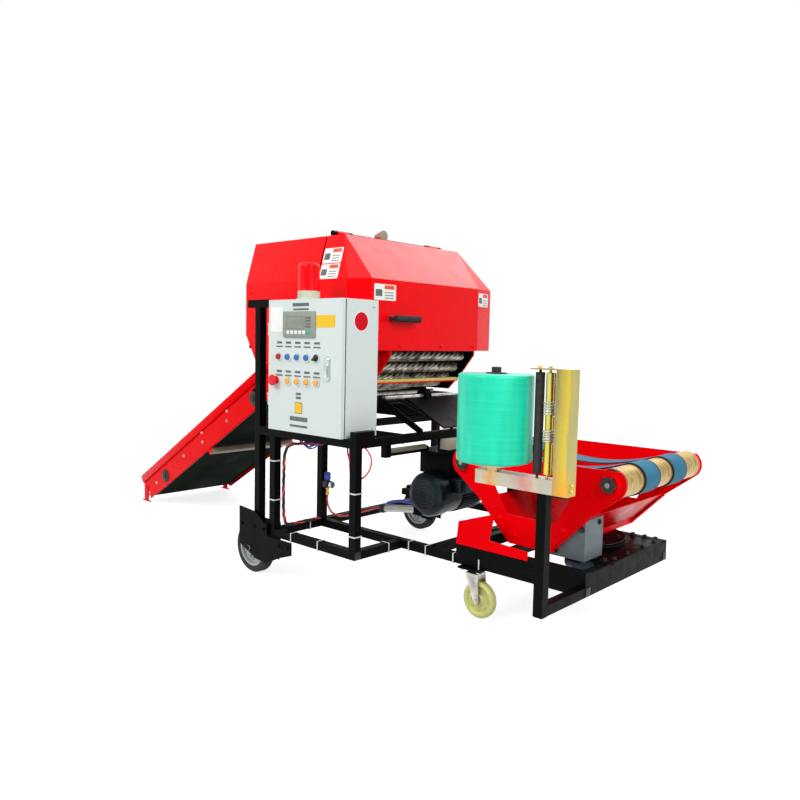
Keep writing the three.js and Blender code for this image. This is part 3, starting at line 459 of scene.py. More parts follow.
def lens_finish():
    """Red moulded lens with fine upright flutes."""
    finish = Finish("beacon_lens", Coat_Weight=0.06, Coat_Roughness=0.1, Specular_Tint=(1.0, 0.1, 0.1, 1.0))
    glow = finish.noise(30.0, 3.0, (1, 1, 0.1))
    return finish.done(finish.ramp(glow, [(0.3, "#ea000c"), (0.7, "#fa1420")]), glow, 0.25, 0.4,
                       finish.noise(240.0, 2.0, (1, 1, 0.05)), 0.15)


def tyre_finish():
    """Dusty black rubber."""
    finish = Finish("tyre", Specular_IOR_Level=0.4)
    dust = finish.noise(22.0, 6.0)
    return finish.done(finish.ramp(dust, [(0.35, "#101112"), (0.8, "#2b2a28")]), dust, 0.6, 0.85,
                       finish.noise(1400.0, 2.0), 0.08)


def make_materials():
    """All finishes: name, colour, gloss, size and strength of the patches, grain and its depth, edges."""
    gold = [(0.32, "#c99a2e"), (0.46, "#dcc445"), (0.56, "#e3d069"), (0.66, "#c6ae4c"), (0.78, "#a8aa7e")]
    zinc = [(0.32, "#a9a390"), (0.44, "#c9c3b0"), (0.53, "#dc9236"), (0.61, "#cc8f86"), (0.7, "#b5b2a0")]
    wood = [(0.34, "#8a6a30"), (0.45, "#b7954a"), (0.54, "#c4a558"), (0.63, "#96783c"), (0.74, "#b09a5e")]
    steel = [(0.3, "#8d8b84"), (0.5, "#bdbab2"), (0.7, "#dddad2")]
    roller = [(0.32, "#2a2620"), (0.46, "#756f63"), (0.6, "#b5afa3"), (0.75, "#585146")]
    return SimpleNamespace(
        red=coating("red_paint", "#f8000a", 0.27, 3.0, 0.04, 60.0, 0.012, 0.9, "#ff3a30",
                    Coat_Weight=0.05, Coat_Roughness=0.14, Specular_IOR_Level=0.3,
                    Specular_Tint=(1.0, 0.05, 0.07, 1.0)),
        red_frame=coating("red_frame_paint", "#f8000a", 0.3, 3.0, 0.04, 60.0, 0.012, 0.9, "#ff3a30",
                          Specular_IOR_Level=0.1, Specular_Tint=(1.0, 0.05, 0.07, 1.0)),
        black=coating("black_paint", "#040506", 0.42, 6.0, 0.1, 200.0, 0.04, 1.4, "#262827",
                      Specular_IOR_Level=0.05),
        cabinet=coating("cabinet_paint", "#d8e2df", 0.42, 2.5, 0.02, 1400.0, 0.05, 2.0,
                        Specular_IOR_Level=0.3),
        bracket=coating("bracket_paint", "#5a656b", 0.45, 9.0, 0.08, 900.0, 0.05, 2.0, "#8b9599"),
        motor=coating("motor_paint", "#050c12", 0.34, 9.0, 0.2, 300.0, 0.05, Coat_Weight=0.08,
                      Specular_IOR_Level=0.35, Coat_Roughness=0.22, Specular_Tint=(0.55, 0.8, 1.0, 1.0)),
        gold=plated_metal("yellow_zinc", gold, 0.3, 3.5, (9, 9, 0.9), (3, 3, 0.4), 0.02, 1.0),
        drum=plated_metal("gold_drum", wood, 0.4, 26.0, (0.7, 3.0, 0.7), (1, 5, 1), 0.3),
        zinc=plated_metal("bright_zinc", zinc, 0.32, 9.0, (1, 1, 1.5), (0.6, 3, 3), 0.02, 1.0),
        steel=plated_metal("steel", steel, 0.3, 20.0, (1, 1, 1), (4, 4, 1), 0.03),
        roller=plated_metal("roller_steel", roller, 0.34, 16.0, (1, 1, 1), (2, 2, 2), 0.08),
        chrome=coating("chrome", "#cfd6d6", 0.14, 12.0, 0.08, 300.0, 0.01, Metallic=1.0),
        aluminium=coating("aluminium", "#c9c8c2", 0.36, 14.0, 0.08, 400.0, 0.02, Metallic=0.55),
        plastic=coating("black_plastic", "#0e0f10", 0.5, 12.0, 0.25, 1200.0, 0.06),
        grip=coating("rubber_grip", "#0b0b0b", 0.66, 14.0, 0.3, 700.0, 0.12),
        panel=coating("panel_plastic", "#8d9388", 0.45, 14.0, 0.05, 1200.0, 0.04),
        beacon=coating("beacon_body", "#c3c9b4", 0.5, 10.0, 0.05, 900.0, 0.04),
        cream=coating("caster_tread", "#cdcd80", 0.5, 16.0, 0.1, 500.0, 0.1, Subsurface_Weight=0.05),
        rim=coating("wheel_rim", "#9ba1a2", 0.4, 16.0, 0.15, 600.0, 0.05, Metallic=0.3),
        blue=coating("blue_cap", "#1a67ae", 0.3, 30.0, 0.06, 800.0, 0.02, Coat_Weight=0.2),
        hose_blue=coating("blue_tube", "#1c4ed0", 0.3, 30.0, 0.1, 500.0, 0.02, Coat_Weight=0.3),
        hose_red=coating("red_tube", "#e03434", 0.35, 30.0, 0.1, 500.0, 0.02, Coat_Weight=0.3),
        purple=coating("purple_lead", "#5a2aa8", 0.4, 30.0, 0.1, 500.0, 0.02),
        yellow=coating("yellow_cap", "#f0a92c", 0.3, 30.0, 0.06, 800.0, 0.02, Coat_Weight=0.4),
        stop=coating("stop_cap", "#dc1018", 0.3, 30.0, 0.08, 800.0, 0.02, Coat_Weight=0.15,
                     Specular_IOR_Level=0.3),
        start=coating("red_cap", "#b30d15", 0.3, 30.0, 0.08, 800.0, 0.02, Coat_Weight=0.15,
                      Specular_IOR_Level=0.3),
        screen=coating("display_glass", "#7d8677", 0.12, 40.0, 0.05, 200.0, 0.01, Coat_Weight=0.8),
        key=coating("key_plastic", "#e9ece8", 0.45, 30.0, 0.03, 900.0, 0.03),
        disc=coating("disc_plate", "#d40c24", 0.45, 30.0, 0.08, 1500.0, 0.01, Specular_IOR_Level=0.1),
        label=coating("blank_label", "#f4f4f1", 0.5, 20.0, 0.03, 1500.0, 0.01),
        caption=coating("caption_plate", "#5c6462", 0.5, 80.0, 0.35, 1500.0, 0.01),
        band=coating("label_band", "#e8502a", 0.5, 40.0, 0.08, 1500.0, 0.01),
        sign=coating("yellow_sign", "#f2c21c", 0.4, 20.0, 0.05, 1500.0, 0.01),
        tie=coating("nylon_tie", "#e4e6e2", 0.4, 40.0, 0.04, 900.0, 0.02),
        beige=coating("bare_tube", "#9a9482", 0.5, 14.0, 0.12, 600.0, 0.06),
        strip=coating("zinc_strip", "#cdbf62", 0.36, 5.0, 0.08, 400.0, 0.02, Metallic=0.35),
        salmon=coating("salmon_ring", "#c98b79", 0.45, 20.0, 0.08, 900.0, 0.02),
        green=coating("green_key", "#2fae86", 0.4, 30.0, 0.05, 900.0, 0.02),
        film=film_finish(),
        conveyor=green_belt_finish(),
        lens=lens_finish(),
        tyre=tyre_finish(),
    )


paint = make_materials()


# ---------------------------------------------------------------- CAD nodes that stay


def dress(material, *names):
    """Gives CAD nodes a finish in place of their plain one."""
    for name in names:
        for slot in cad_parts[name].material_slots:
            slot.material = material


dress(paint.black, "base_frame", "machine_stand", "near_wheel_fork", "far_wheel_fork", "chamber_frame",
      "tailgate_hinge", "exit_ramp", "table_base", "film_post", "near_caster_mount", "far_caster_mount")
dress(paint.red, "fixed_hood", "tailgate_hood", "tailgate_frame")
dress(paint.red_frame, "conveyor_frame", "side_guard", "cradle_frame")
dress(paint.cabinet, "cabinet_body", "cabinet_door")
dress(paint.bracket, "turntable_plate")
dress(paint.conveyor, "conveyor_belt")
arm = limits("film_arm")
dress(arm_finish(at(arm.x[0], 0, 0).x, arm.size.x * MM), "film_arm")
dress(paint.steel, "near_caster_fork", "far_caster_fork")
channel = limits("film_channel")
# The channel's painted sheen runs across its last 45 mm in X.
channel_width = 45.0
edge = at(channel.x[1] - channel_width, 0, channel.z[0])
dress(channel_colour_and_sheen(edge.x, channel_width * MM, edge.z), "film_channel")
dress(paint.hose_blue, "blue_air_hose")
dress(paint.hose_red, "red_air_hose")


# ---------------------------------------------------------------- rollers


def ribbed_roller(shape, x, z, y_span, radius):
    """A roller whose rounded ribs wind round it like the strands of a rope."""
    lobes, pitch, depth = 5, 170.0, 6.0
    steps, sides = 72, 40
    low, high = y_span
    section = [(angle, radius - depth * (1 - abs(cos(lobes * angle / 2)))) for angle in around(sides)]
    shape.rings([
        [spun((x, y, z), X, Z, angle + 2 * pi * y / pitch, reach) for angle, reach in section]
        for y in (low + (high - low) * i / steps for i in range(steps + 1))
    ])


def make_tailgate_rollers():
    """The four turning rollers of the tailgate, with their journals."""
    journal, inset = 8.0, 6.0
    for index in range(1, 5):
        name = f"tailgate_roller_{index}"
        node = limits(name)
        x, z, (low, high) = node.middle.x, node.middle.z, node.y
        shape = Shape()
        ribbed_roller(shape, x, z, (low + inset, high - inset), node.radius)
        shape.rod((x, low, z), (x, low + inset + 1, z), journal)
        shape.rod((x, high - inset - 1, z), (x, high, z), journal)
        shape.place(f"ribbed_{name}", paint.roller, name, "roller_steel", (name,))


def make_chamber_skins():
    """Ribbed skins on the fixed rollers of both halves of the chamber."""
    wall = limits("tailgate_roller_1")
    radius = wall.radius + 6.3
    span = (wall.y[0] + 1.5, wall.y[1] - 1.5)
    reach, centre_x, centre_z = 285.0, -487.0, limits("exit_ramp").z[0] + 423
    pitch = 12  # degrees from one roller to the next
    rows = (("machine", 102, 175), ("machine", 234, 259), ("tailgate", -18, 67))
    for row, (body, first, end) in enumerate(rows, 1):
        shape = Shape()
        for degrees in range(first, end, pitch):
            angle = radians(degrees)
            ribbed_roller(shape, centre_x + reach * cos(angle), centre_z + reach * sin(angle), span, radius)
        shape.place(f"chamber_skins_{row}", paint.roller, body, "roller_steel")


# ---------------------------------------------------------------- hood


def hood_outline():
    """The sides, front, crease, top and skirt of the tailgate hood, and how far its slope leans in."""
    hood, top = limits("tailgate_hood"), limits("fixed_hood").z[1]
    return SimpleNamespace(near=hood.y[0], far=hood.y[1], front=-169.0, crease=top - 175, top=top,
                           skirt=hood.z[0], inset=50.0)


def plate_on(shape, corner, along, up, width, height, thickness=0.9):
    """A thin plate with cut corners, lying on a face: corner is its lower near corner."""
    along, up = along.normalized(), up.normalized()
    out = along.cross(up)
    corner = Vector(corner)
    cut = min(width, height) * 0.06
    flat = [(cut, 0), (width - cut, 0), (width, cut), (width, height - cut), (width - cut, height),
            (cut, height), (0, height - cut), (0, cut)]
    shape.rings([[corner + along * a + up * b + out * depth for a, b in flat] for depth in (0.15, thickness)])


def make_hood_labels():
    """Blank labels on the hood: a white plate with a band, a field and three bars."""
    hood = hood_outline()
    rise = Vector((0, hood.inset, hood.top - hood.crease)).normalized()
    foot = Vector((-430, hood.near, hood.crease))
    slant = Vector((-31, 130, 0)).normalized()
    labels, bands, fields = Shape(), Shape(), Shape()
    # Each detail is placed and sized in shares of its label.
    details = [(bands, 0.46, 0.7, 0.46, 0.24), (fields, 0.06, 0.24, 0.3, 0.42)]
    details += [(fields, 0.48, 0.12 + 0.17 * bar, 0.4, 0.05) for bar in range(3)]
    for place, along, up, width, height in (
        (foot + rise * 66, X, rise, 106, 62),
        (foot + rise * 2, X, rise, 106, 60),
        (Vector((hood.front, 245, 1076)), Y, Z, 118, 60),
        (Vector((hood.front, 890, 1080)), slant, Z, 104, 58),
    ):
        plate_on(labels, place, along, up, width, height)
        for shape, left, low, wide, tall in details:
            spot = place + along * width * left + up * height * low
            plate_on(shape, spot, along, up, width * wide, height * tall, 1.3)
    labels.place("hood_labels", paint.label, "tailgate", "panel_grey")
    bands.place("hood_label_bands", paint.band, "tailgate", "stop_red")
    fields.place("hood_label_fields", paint.caption, "tailgate", "panel_grey")


def make_hood_screws():
    """Screws along the skirts of both hoods."""
    hood = hood_outline()
    low = hood.skirt + 18
    spots = [((hood.front, y, low), X) for y in (262, 393, 640, 860)]
    spots += facing_out(hood.near, hood.far, [(x, low) for x in (-420, -300)])
    bolted("tailgate_screws", paint.red, "tailgate", "machine_red", spots, 9, 4)
    spots = [(x, z) for z in (hood.skirt, hood.crease - 40) for x in (-870, -470)]
    bolted("hood_screws", paint.red, "machine", "machine_red", facing_out(hood.near, hood.far, spots), 9, 4)


def make_hood_edges():
    """The folded lip under the tailgate's front and the angle bar below the rollers."""
    hood = hood_outline()
    lip = ((hood.front - 22, hood.front - 3), (260, 870), (hood.skirt - 1.5, hood.skirt + 1.5))
    blocks("tailgate_lip", paint.red, "tailgate", "machine_red", [lip], 0.6)
    long = (351, 869)
    blocks("tailgate_bar", paint.strip, "tailgate", "yellow_zinc",
           [((-289, -261), long, (767.4, 769)), ((-263, -260), long, (757.5, 769))], 0.4)


def make_gate_lining():
    """Black lining on the inner face of the tailgate's far plate, taken from that face itself."""
    lining = Shape()
    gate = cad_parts["tailgate_frame"]
    inner = limits("tailgate_roller_1").y[1] - 2
    into = Matrix.Scale(1 / MM, 4) @ Matrix.Translation(-CORNER) @ gate.matrix_world
    for polygon in gate.data.polygons:
        corners = [into @ gate.data.vertices[i].co for i in polygon.vertices]
        if polygon.normal.y < -0.99 and min(corner.y for corner in corners) > inner:
            lining.mesh.faces.new([lining.mesh.verts.new(corner - Y * 0.5) for corner in corners])
    bmesh.ops.remove_doubles(lining.mesh, verts=lining.mesh.verts, dist=0.01)
    made = bmesh.ops.extrude_face_region(lining.mesh, geom=list(lining.mesh.faces))["geom"]
    for vert in (item for item in made if isinstance(item, bmesh.types.BMVert)):
        vert.co.y += 0.4
    lining.place("gate_lining", paint.black, "tailgate", "machine_black")


def make_horn():
    """The small ribbed horn on the roof."""
    outline = [(0, -0.6), (9, -0.6), (9, 1.2)]
    for rib in range(6):
        radius, start = 10 + 2.2 * rib, 7.2 * rib
        outline += [(radius - 0.6, start + 3), (radius + 1.4, start + 6), (radius + 1.2, start + 8.4)]
    outline += [(22, 46.6), (20, 47.4), (0, 47.4)]
    turned("roof_horn_skin", paint.beige, "tailgate", "bracket_grey", outline,
           (-408, 492, hood_outline().top + 22), X, 36)


def make_handle():
    """The ribbed rubber grip and its two posts."""
    node = limits("tailgate_handle")
    x, z, (near, far) = node.x[1] - 13, node.middle.z, node.y
    ribs = 15
    step = (far - near) / ribs
    profile = [(0, 0)]
    for rib in range(ribs):
        y = step * rib
        profile += [(10.6, y + 0.5), (13, y + 2.5), (13, y + step - 2.5), (10.6, y + step - 0.5)]
    profile.append((0, far - near))
    shape = Shape().lathe(profile, (x, near, z), Y, 24)
    for y in (near + 7, far - 7):
        shape.rod((node.x[0], y, z), (x, y, z), 6.5)
        shape.lathe([(0, 0), (12, 0), (12, 2), (9, 4), (0, 4)], (node.x[0], y, z), X, 24)
    shape.place("ribbed_grip", paint.grip, "tailgate", "black_plastic", ("tailgate_handle",))


# ---------------------------------------------------------------- cabinet


def make_buttons():
    """Collars and caps of the push buttons, the selector and the emergency stop."""
    face = limits("cabinet_door").y[0]
    upper, lower = limits("upper_buttons"), limits("lower_buttons")
    spacing, rim = 52.0, 22.0
    upper_row = [(upper.x[0] + rim + spacing * i, face, upper.middle.z) for i in range(5)]
    lower_row = [(lower.x[0] + rim + spacing * i, face, lower.middle.z) for i in range(4)]
    collar = [(0, 0), (15.5, 0), (15.5, 3.5), (14, 5.5), (11.5, 5.5), (11.2, 4.5), (0, 4.5)]
    cap = [(0, 3), (11, 3), (11, 9.5), (9.8, 11.2), (6, 11.8), (0, 11.9)]
    for name, finish, slot, profile, spots, replaced in (
        ("button_collars", paint.chrome, "lock_chrome", collar, upper_row + lower_row,
         ("upper_buttons", "lower_buttons")),
        ("start_caps", paint.start, "stop_red", cap, upper_row[:1], ()),
        ("blue_caps", paint.blue, "button_blue", cap, upper_row[1:4], ()),
        ("yellow_caps", paint.yellow, "button_yellow", cap, lower_row, ()),
    ):
        shape = Shape()
        for spot in spots:
            shape.lathe(profile, spot, -Y, 32)
        shape.place(name, finish, "cabinet_door", slot, replaced)

    place = Vector(upper_row[4])
    knob = Shape().box((-15, 15), (-15, -8), (-3.6, 3.6), 1.2)
    knob.mesh.transform(Matrix.Translation(place) @ Matrix.Rotation(radians(-28), 4, "Y"))
    knob.lathe([(0, 3), (13, 3), (12.4, 8), (11, 9), (0, 9)], place, -Y, 32)
    knob.place("selector_knob", paint.plastic, "cabinet_door", "black_plastic")

    mushroom = [(0, 0), (15, 0), (15, 6), (11, 8), (11, 12), (17, 13.5), (20, 17), (20, 21), (17, 25.5),
                (10, 27.5), (0, 27.9)]
    turned("stop_mushroom", paint.stop, "cabinet_door", "stop_red", mushroom,
           (limits("emergency_stop").middle.x, face, lower.middle.z), -Y, 40, ("emergency_stop",))


def make_display():
    """The display's shell with a raised frame, its glass and its keys."""
    face, node = limits("cabinet_door").y[0], limits("control_display")
    (x0, x1), (z0, z1) = node.x, node.z
    left, right, low, high = x0 + 24, x1 - 58, z0 + 34, z1 - 18
    border = 3.0
    shell = Shape().box((x0, x1), (face - 7.5, face - 0.3), (z0, z1), 2.0)
    for x, z in (
        ((left - border, right + border), (high, high + border)),
        ((left - border, right + border), (low - border, low)),
        ((left - border, left), (low, high)),
        ((right, right + border), (low, high)),
    ):
        shell.box(x, (face - 9.4, face - 7), z, 0.5)
    shell.place("display_shell", paint.panel, "cabinet_door", "panel_grey", ("control_display",))

    raised = (face - 9, face - 7.2)
    side_keys = [((x1 - 47, x1 - 20), raised, (z, z + 6)) for z in (low + 1 + 10.5 * i for i in range(4))]
    keys = [((x, x + 16), raised, (z0 + 11, z0 + 24)) for x in (x0 + 22 + 22 * i for i in range(5))]
    for name, finish, slot, boxes, bevel in (
        ("glass", paint.screen, "panel_grey", [((left, right), (face - 8.2, face - 7), (low, high))], 0.2),
        ("side_keys", paint.caption, "black_plastic", side_keys, 0.8),
        ("keys", paint.key, "panel_grey", keys, 1.2),
        ("green_key", paint.green, "panel_grey", [((x1 - 42, x1 - 22), raised, (z0 + 10, z0 + 25))], 1.2),
    ):
        blocks(f"display_{name}", finish, "cabinet_door", slot, boxes, bevel)


def make_door_plates():
    """Blank plates on the door and the cabinet's side: nothing is written on them."""
    face, body = limits("cabinet_door").y[0], limits("cabinet_body")
    captions = [(-320, 1040, 90, 12), (-316, 1026, 84, 7), (-297, 722, 28, 9), (-297, 708, 28, 9),
                (-330, 628, 98, 16), (-330, 606, 98, 8)]
    for z in (916, 811):
        for x in (-393 + 52 * i for i in range(5)):
            captions += [(x - 15, z - 10, 30, 8), (x - 19, z - 23, 38, 5)]
    # Each plate is its lower left corner, width and height.
    for name, finish, slot, thickness, plates in (
        ("door_card", paint.label, "panel_grey", 0.9, [(-446, 948, 72, 90)]),
        ("door_notice", paint.sign, "button_yellow", 0.9, [(-190, 966, 98, 42)]),
        ("door_captions", paint.caption, "panel_grey", 0.5, captions),
        ("notice_border", paint.plastic, "black_plastic", 0.6, [(-301, 656, 40, 40)]),
        ("notice_field", paint.sign, "button_yellow", 1.0, [(-299, 658, 36, 36)]),
    ):
        shape = Shape()
        for x, z, width, height in plates:
            plate_on(shape, (x, face, z), X, Z, width, height, thickness)
        shape.place(name, finish, "cabinet_door", slot)

    for name, radius, depth, finish, slot in (
        ("side_disc_rim", 35.0, 0.7, paint.label, "panel_grey"),
        ("side_disc", 32.0, 1.1, paint.disc, "stop_red"),
    ):
        turned(name, finish, "machine", slot, [(0, 0.15), (radius, 0.15), (radius, depth), (0, depth)],
               (body.x[1], 71, 989), X)


def make_lock():
    """The swing-handle lock of the door: a long round-ended plate, its handle and its key barrel."""
    node, face = limits("door_lock"), limits("cabinet_door").y[0]
    x, half, arc = node.middle.x, 12.0, 24
    outline = [
        spun((x, face, z), X, Z, start + pi * i / arc, half)
        for start, z in ((0.0, node.z[1] - half), (pi, node.z[0] + half)) for i in range(arc + 1)
    ]
    middle = Vector((x, face, node.middle.z))
    shape = Shape().rings([
        [point + (middle - point).normalized() * inset - Y * out for point in outline]
        for inset, out in ((0, 0.2), (0, 6.5), (2, 8.5))
    ])
    shape.box((x - 6.5, x + 6.5), (face - 14, face - 8), (node.z[0] + 9, node.z[1] - 26), 2.4)
    shape.lathe([(0, 8), (7, 8), (7, 12), (5.5, 13.5), (0, 13.5)], (x, face, node.z[1] - 15), -Y, 28)
    shape.place("swing_lock", paint.chrome, "cabinet_door", "lock_chrome", ("door_lock",))


def make_cabinet_trim():
    """The door's gasket, the cabinet's screws and plain switch gear behind the door."""
    body = limits("cabinet_body")
    (left, right), (front, back), (low, high) = body.x, body.y, body.z
    inner, width = 6.0, 6.0
    x0, x1, z0, z1 = left + 10, right - inner, low + inner, high - inner
    depth = (front + 1.8, front + 5.4)
    blocks("door_gasket", paint.plastic, "machine", "black_plastic", [
        (x, depth, z) for x, z in (((x0, x1), (z1 - width, z1)), ((x0, x1), (z0, z0 + width)),
                                   ((x0, x0 + width), (z0, z1)), ((x1 - width, x1), (z0, z1)))
    ], 0.8)

    screws = Shape()
    for z in (low + 22, high - 22):
        screws.bolt((right, back - 22, z), X, 7, 3)
    for x in (left + 40, right - 40):
        for z in (low + 40, high - 40):
            screws.bolt((x, back, z), Y, 9, 4)
    screws.place("cabinet_screws", paint.steel, "machine", "zinc_steel")

    inside = Shape()
    wall = back - 3.5
    for row, z in enumerate((700, 830, 940)):
        inside.box((left + 40, right - 40), (wall - 9, wall - 2), (z, z + 34), 1.0)
        for x in (left + 58 + 42 * k for k in range(7 - row)):
            inside.box((x, x + 36), (wall - 70, wall - 9), (z - 26, z + 60), 2.0)
    inside.place("switch_gear", paint.panel, "machine", "panel_grey")


def make_beacon():
    """The beacon's foot and its banded dome."""
    base, lens = limits("beacon_base"), limits("beacon_lens")
    x, y = base.middle.x, base.middle.y
    height, tall = base.size.z, lens.size.z
    foot = [(0, 0), (46, 0), (46, 5), (43, 7), (41, 8), (41, height - 3), (39, height), (0, height)]
    turned("beacon_foot", paint.beacon, "machine", "beacon_grey", foot, (x, y, base.z[0]), Z,
           replaces=("beacon_base",))
    outline = [(0, 0), (40, 0), (40, 6)]
    bands = 10
    step = (tall - 22) / bands
    for z in (8 + step * i for i in range(bands)):
        outline += [(38.8, z), (40, z + step * 0.5), (38.8, z + step * 0.95)]
    outline += [(38.5, tall - 11), (35, tall - 5), (27, tall - 2), (12, tall - 0.6), (0, tall - 0.2)]
    turned("beacon_dome", paint.lens, "machine", "beacon_red", outline, (x, y, lens.z[0]), Z, 48,
           ("beacon_lens",), 50)


# ---------------------------------------------------------------- wheels


def make_road_wheels():
    """Grooved tyres, rims with six holes, axle nuts and fork bolts of the fixed wheels."""
    for side, outward in (("near", -Y), ("far", Y)):
        name = f"{side}_wheel"
        node, fork = limits(name), limits(f"{side}_wheel_fork")
        x, z, radius = node.middle.x, node.middle.z, node.radius
        start, width = Vector((x, node.y[0], z)), node.size.y
        grooves = []
        for middle in (12, 22.5, 33):
            grooves += [(radius, middle - 3.2), (radius - 3, middle - 2),
                        (radius - 3, middle + 2), (radius, middle + 3.2)]
        outline = mirrored([(73, 3), (80, 0.6), (90, 0.2), (96, 3), (99, 7)], width, grooves)
        turned(f"{side}_tyre", paint.tyre, name, "tyre_black", outline, start, Y, 72, (name,))

        rim = Shape().lathe([(66, 4), (74, 2.5), (74, width - 2.5), (66, width - 4), (64, width - 12),
                             (24, width - 17), (22, width - 2), (11, width - 1), (11, 1), (22, 2), (24, 17),
                             (64, 12)], start, Y, 72)
        for angle in around(6, 15):
            for depth, direction in ((13.8, -Y), (width - 13.8, Y)):
                rim.lathe([(9, 0), (13, 0), (13, 3.2), (11, 4.2), (9, 3.2)],
                          spun(start + Y * depth, X, Z, angle, 44), direction, 24)
        rim.place(f"{side}_rim", paint.rim, name, "zinc_steel")

        outer = fork.y[0] + 6 if side == "near" else fork.y[1] - 6
        bolted(f"{side}_axle_nuts", paint.steel, "machine", "zinc_steel",
               [((x, outer, z), outward)], 20, 4.2, False)
        bolted(f"{side}_fork_bolts", paint.black, "machine", "machine_black",
               [((x + dx, outer, z + 92), outward) for dx in (-44, 34)], 10, 4)


def make_casters():
    """Treads with eight spokes, axle nuts and mount bolts of the casters."""
    for side in ("near", "far"):
        name = f"{side}_caster_wheel"
        node, fork, mount = limits(name), limits(f"{side}_caster_fork"), limits(f"{side}_caster_mount")
        x, z, (near, far) = node.middle.x, node.middle.z, node.y
        half = [(6, 3), (17, 0.5), (20, 3), (23, 8), (42, 8), (46, 3), (51, 0.5), (58, 1.5), (61, 4),
                (node.radius, 9)]
        wheel = Shape().lathe(mirrored(half, far - near), (x, near, z), Y, 64)
        for angle in around(8):
            spoke = spun(node.middle, X, Z, angle, 33)
            wheel.rod(spoke - Y * 10.5, spoke + Y * 10.5, 4, 14)
        wheel.place(f"{side}_caster_tread", paint.cream, name, "caster_cream", (name,))
        bolted(f"{side}_caster_nuts", paint.steel, f"{side}_caster_swivel", "zinc_steel",
               facing_out(fork.y[0] + 3.9, fork.y[1] - 3.9, [(x, z)]), 13, 3.2, False)
        corners = [(mount.middle.x + dx, mount.middle.y + dy) for dx in (-34, 34) for dy in (-27, 27)]
        bolted(f"{side}_caster_bolts", paint.steel, "machine", "zinc_steel",
               [((a, b, mount.z[1] - 6), -Z) for a, b in corners], 9, 5)


# ---------------------------------------------------------------- conveyor


def along_conveyor():
    """Turns the conveyor's own frame, X along it from its lower drum, into the machine's."""
    belt = limits("conveyor_belt")
    outer = 42.0 + 0.6 + 4.0  # the lower drum, its clearance and the belt
    length = 1320.0  # between the drums
    angle = asin((belt.size.z - 2 * outer) / length)
    start = Vector((belt.x[0] + outer, 0, belt.z[0] + outer))
    return Matrix.Translation(start) @ Matrix.Rotation(-angle, 4, "Y")


def make_conveyor():
    """Rails, bolts, bearings, cross bars and foot bolts of the conveyor."""
    turn = along_conveyor()
    plates, belt = limits("conveyor_frame"), limits("conveyor_belt")
    near, far = belt.y[0] - 8, belt.y[1] + 8
    whole, upper = (-38, 1268), (-8, 1268)
    rails = Shape()
    for x, y, z, bevel in (
        (whole, (near - 9, near - 0.2), (46, 88), 3.0), (whole, (near - 9, near + 16), (85, 88), 1.2),
        (upper, (near - 5, near - 0.2), (-60, -55), 1.0), (whole, (far + 0.2, far + 9), (46, 88), 3.0),
        (upper, (far + 0.2, far + 5), (-60, -55), 1.0),
    ):
        rails.box(x, y, z, bevel)
    rails.place("conveyor_rails", paint.red_frame, "machine", "machine_red", matrix=turn)

    spots = ((-1262, 567), (-1262, 518), (-1473, 392), (-1481, 440), (-1649, 300), (-1925, 118))
    bolted("conveyor_bolts", paint.steel, "machine", "zinc_steel", facing_out(near, far, spots), 8, 5)

    bearings = Shape()
    for place, outward in facing_out(near, far, ((196, -10), (1112, -10))):
        bearings.lathe([(0, 0), (34, 0), (34, 3), (26, 7), (14, 8), (14, 12), (0, 12)], place, outward, 36)
    bearings.place("conveyor_bearings", paint.plastic, "machine", "black_plastic", matrix=turn)

    blocks("conveyor_bars", paint.beige, "machine", "bracket_grey", [
        ((x - 0.6, x + TUBE + 0.6), (near + 4.2, far - 4.2), (-84.6, -62.4)) for x in (640, 1290)
    ], 0.8, turn)
    bolted("conveyor_foot_bolts", paint.steel, "machine", "zinc_steel",
           facing_out(plates.y[0] + 9, plates.y[1] - 9, [(plates.x[0] + 80, 52)]), 10, 5)


# ---------------------------------------------------------------- drive


def make_motor():
    """The finned drive motor with its fan grille, terminal box, hanger and pulley."""
    node = limits("drive_motor")
    x, z = -62.0, node.z[0] + 88
    near, far = node.y[0], node.y[0] + 290
    start = Vector((x, near, z))
    shell = Shape()
    for profile in (
        [(0, 0), (52, 0), (70, 3), (82, 10), (87, 20), (88, 30), (88, 74), (85, 78), (0, 78)],
        [(0, 74), (80, 74), (84, 78), (84, 138), (80, 142), (0, 142)],
        [(0, 138), (77, 138), (77, 268), (84, 270), (84, 284), (70, 290), (0, 290)],
    ):
        shell.lathe(profile, start, Y, 64)
    for angle in around(44):
        out, side = (spun((0, 0, 0), *plane, angle, 1) for plane in ((X, Z), (Z, -X)))
        shell.rings([
            [start + out * reach + side * half * way + Y * depth
             for way, depth in ((-1, 146), (1, 146), (1, 266), (-1, 266))]
            for reach, half in ((75, 2.0), (86, 1.4), (87.5, 0.8))
        ])
    shell.rod((x, far - 2, z), (x, node.y[1], z), 18.5, 32)
    shell.place("motor_shell", paint.motor, "machine", "motor_paint", ("drive_motor",))

    grille = Shape()
    for radius in (18, 30, 42, 54):
        wire = [(radius, -1.4), (radius + 5, -1.4), (radius + 5, 1), (radius, 1)]
        grille.lathe(wire, start + Y * 0.6, Y)
    grille.place("fan_grille", paint.plastic, "machine", "black_plastic")

    terminals = Shape()
    terminals.box((x + 58, x + 118), (near + 80, near + 170), (z + 10, z + 64), 5)
    terminals.box((x + 55, x + 118), (near + 77, near + 173), (z + 56, z + 66), 3)
    terminals.place("terminal_box", paint.motor, "machine", "motor_paint")

    hanger = Shape()
    hanger.box((x - 75, x + 75), (near + 60, far - 40), (z + 76, node.z[1]), 2)
    hanger.box((x - 60, x - 22), (near + 4, near + 30), (node.z[0] - 0.5, z - 60), 3)
    hanger.place("motor_hanger", paint.black, "machine", "machine_black")

    outline = mirrored([(19, 0), (52, 0), (52, 3), (44, 8), (44, 11), (52, 16)], 35)
    turned("motor_pulley", paint.black, "machine", "machine_black", outline, (x, far + 14, z), Y)


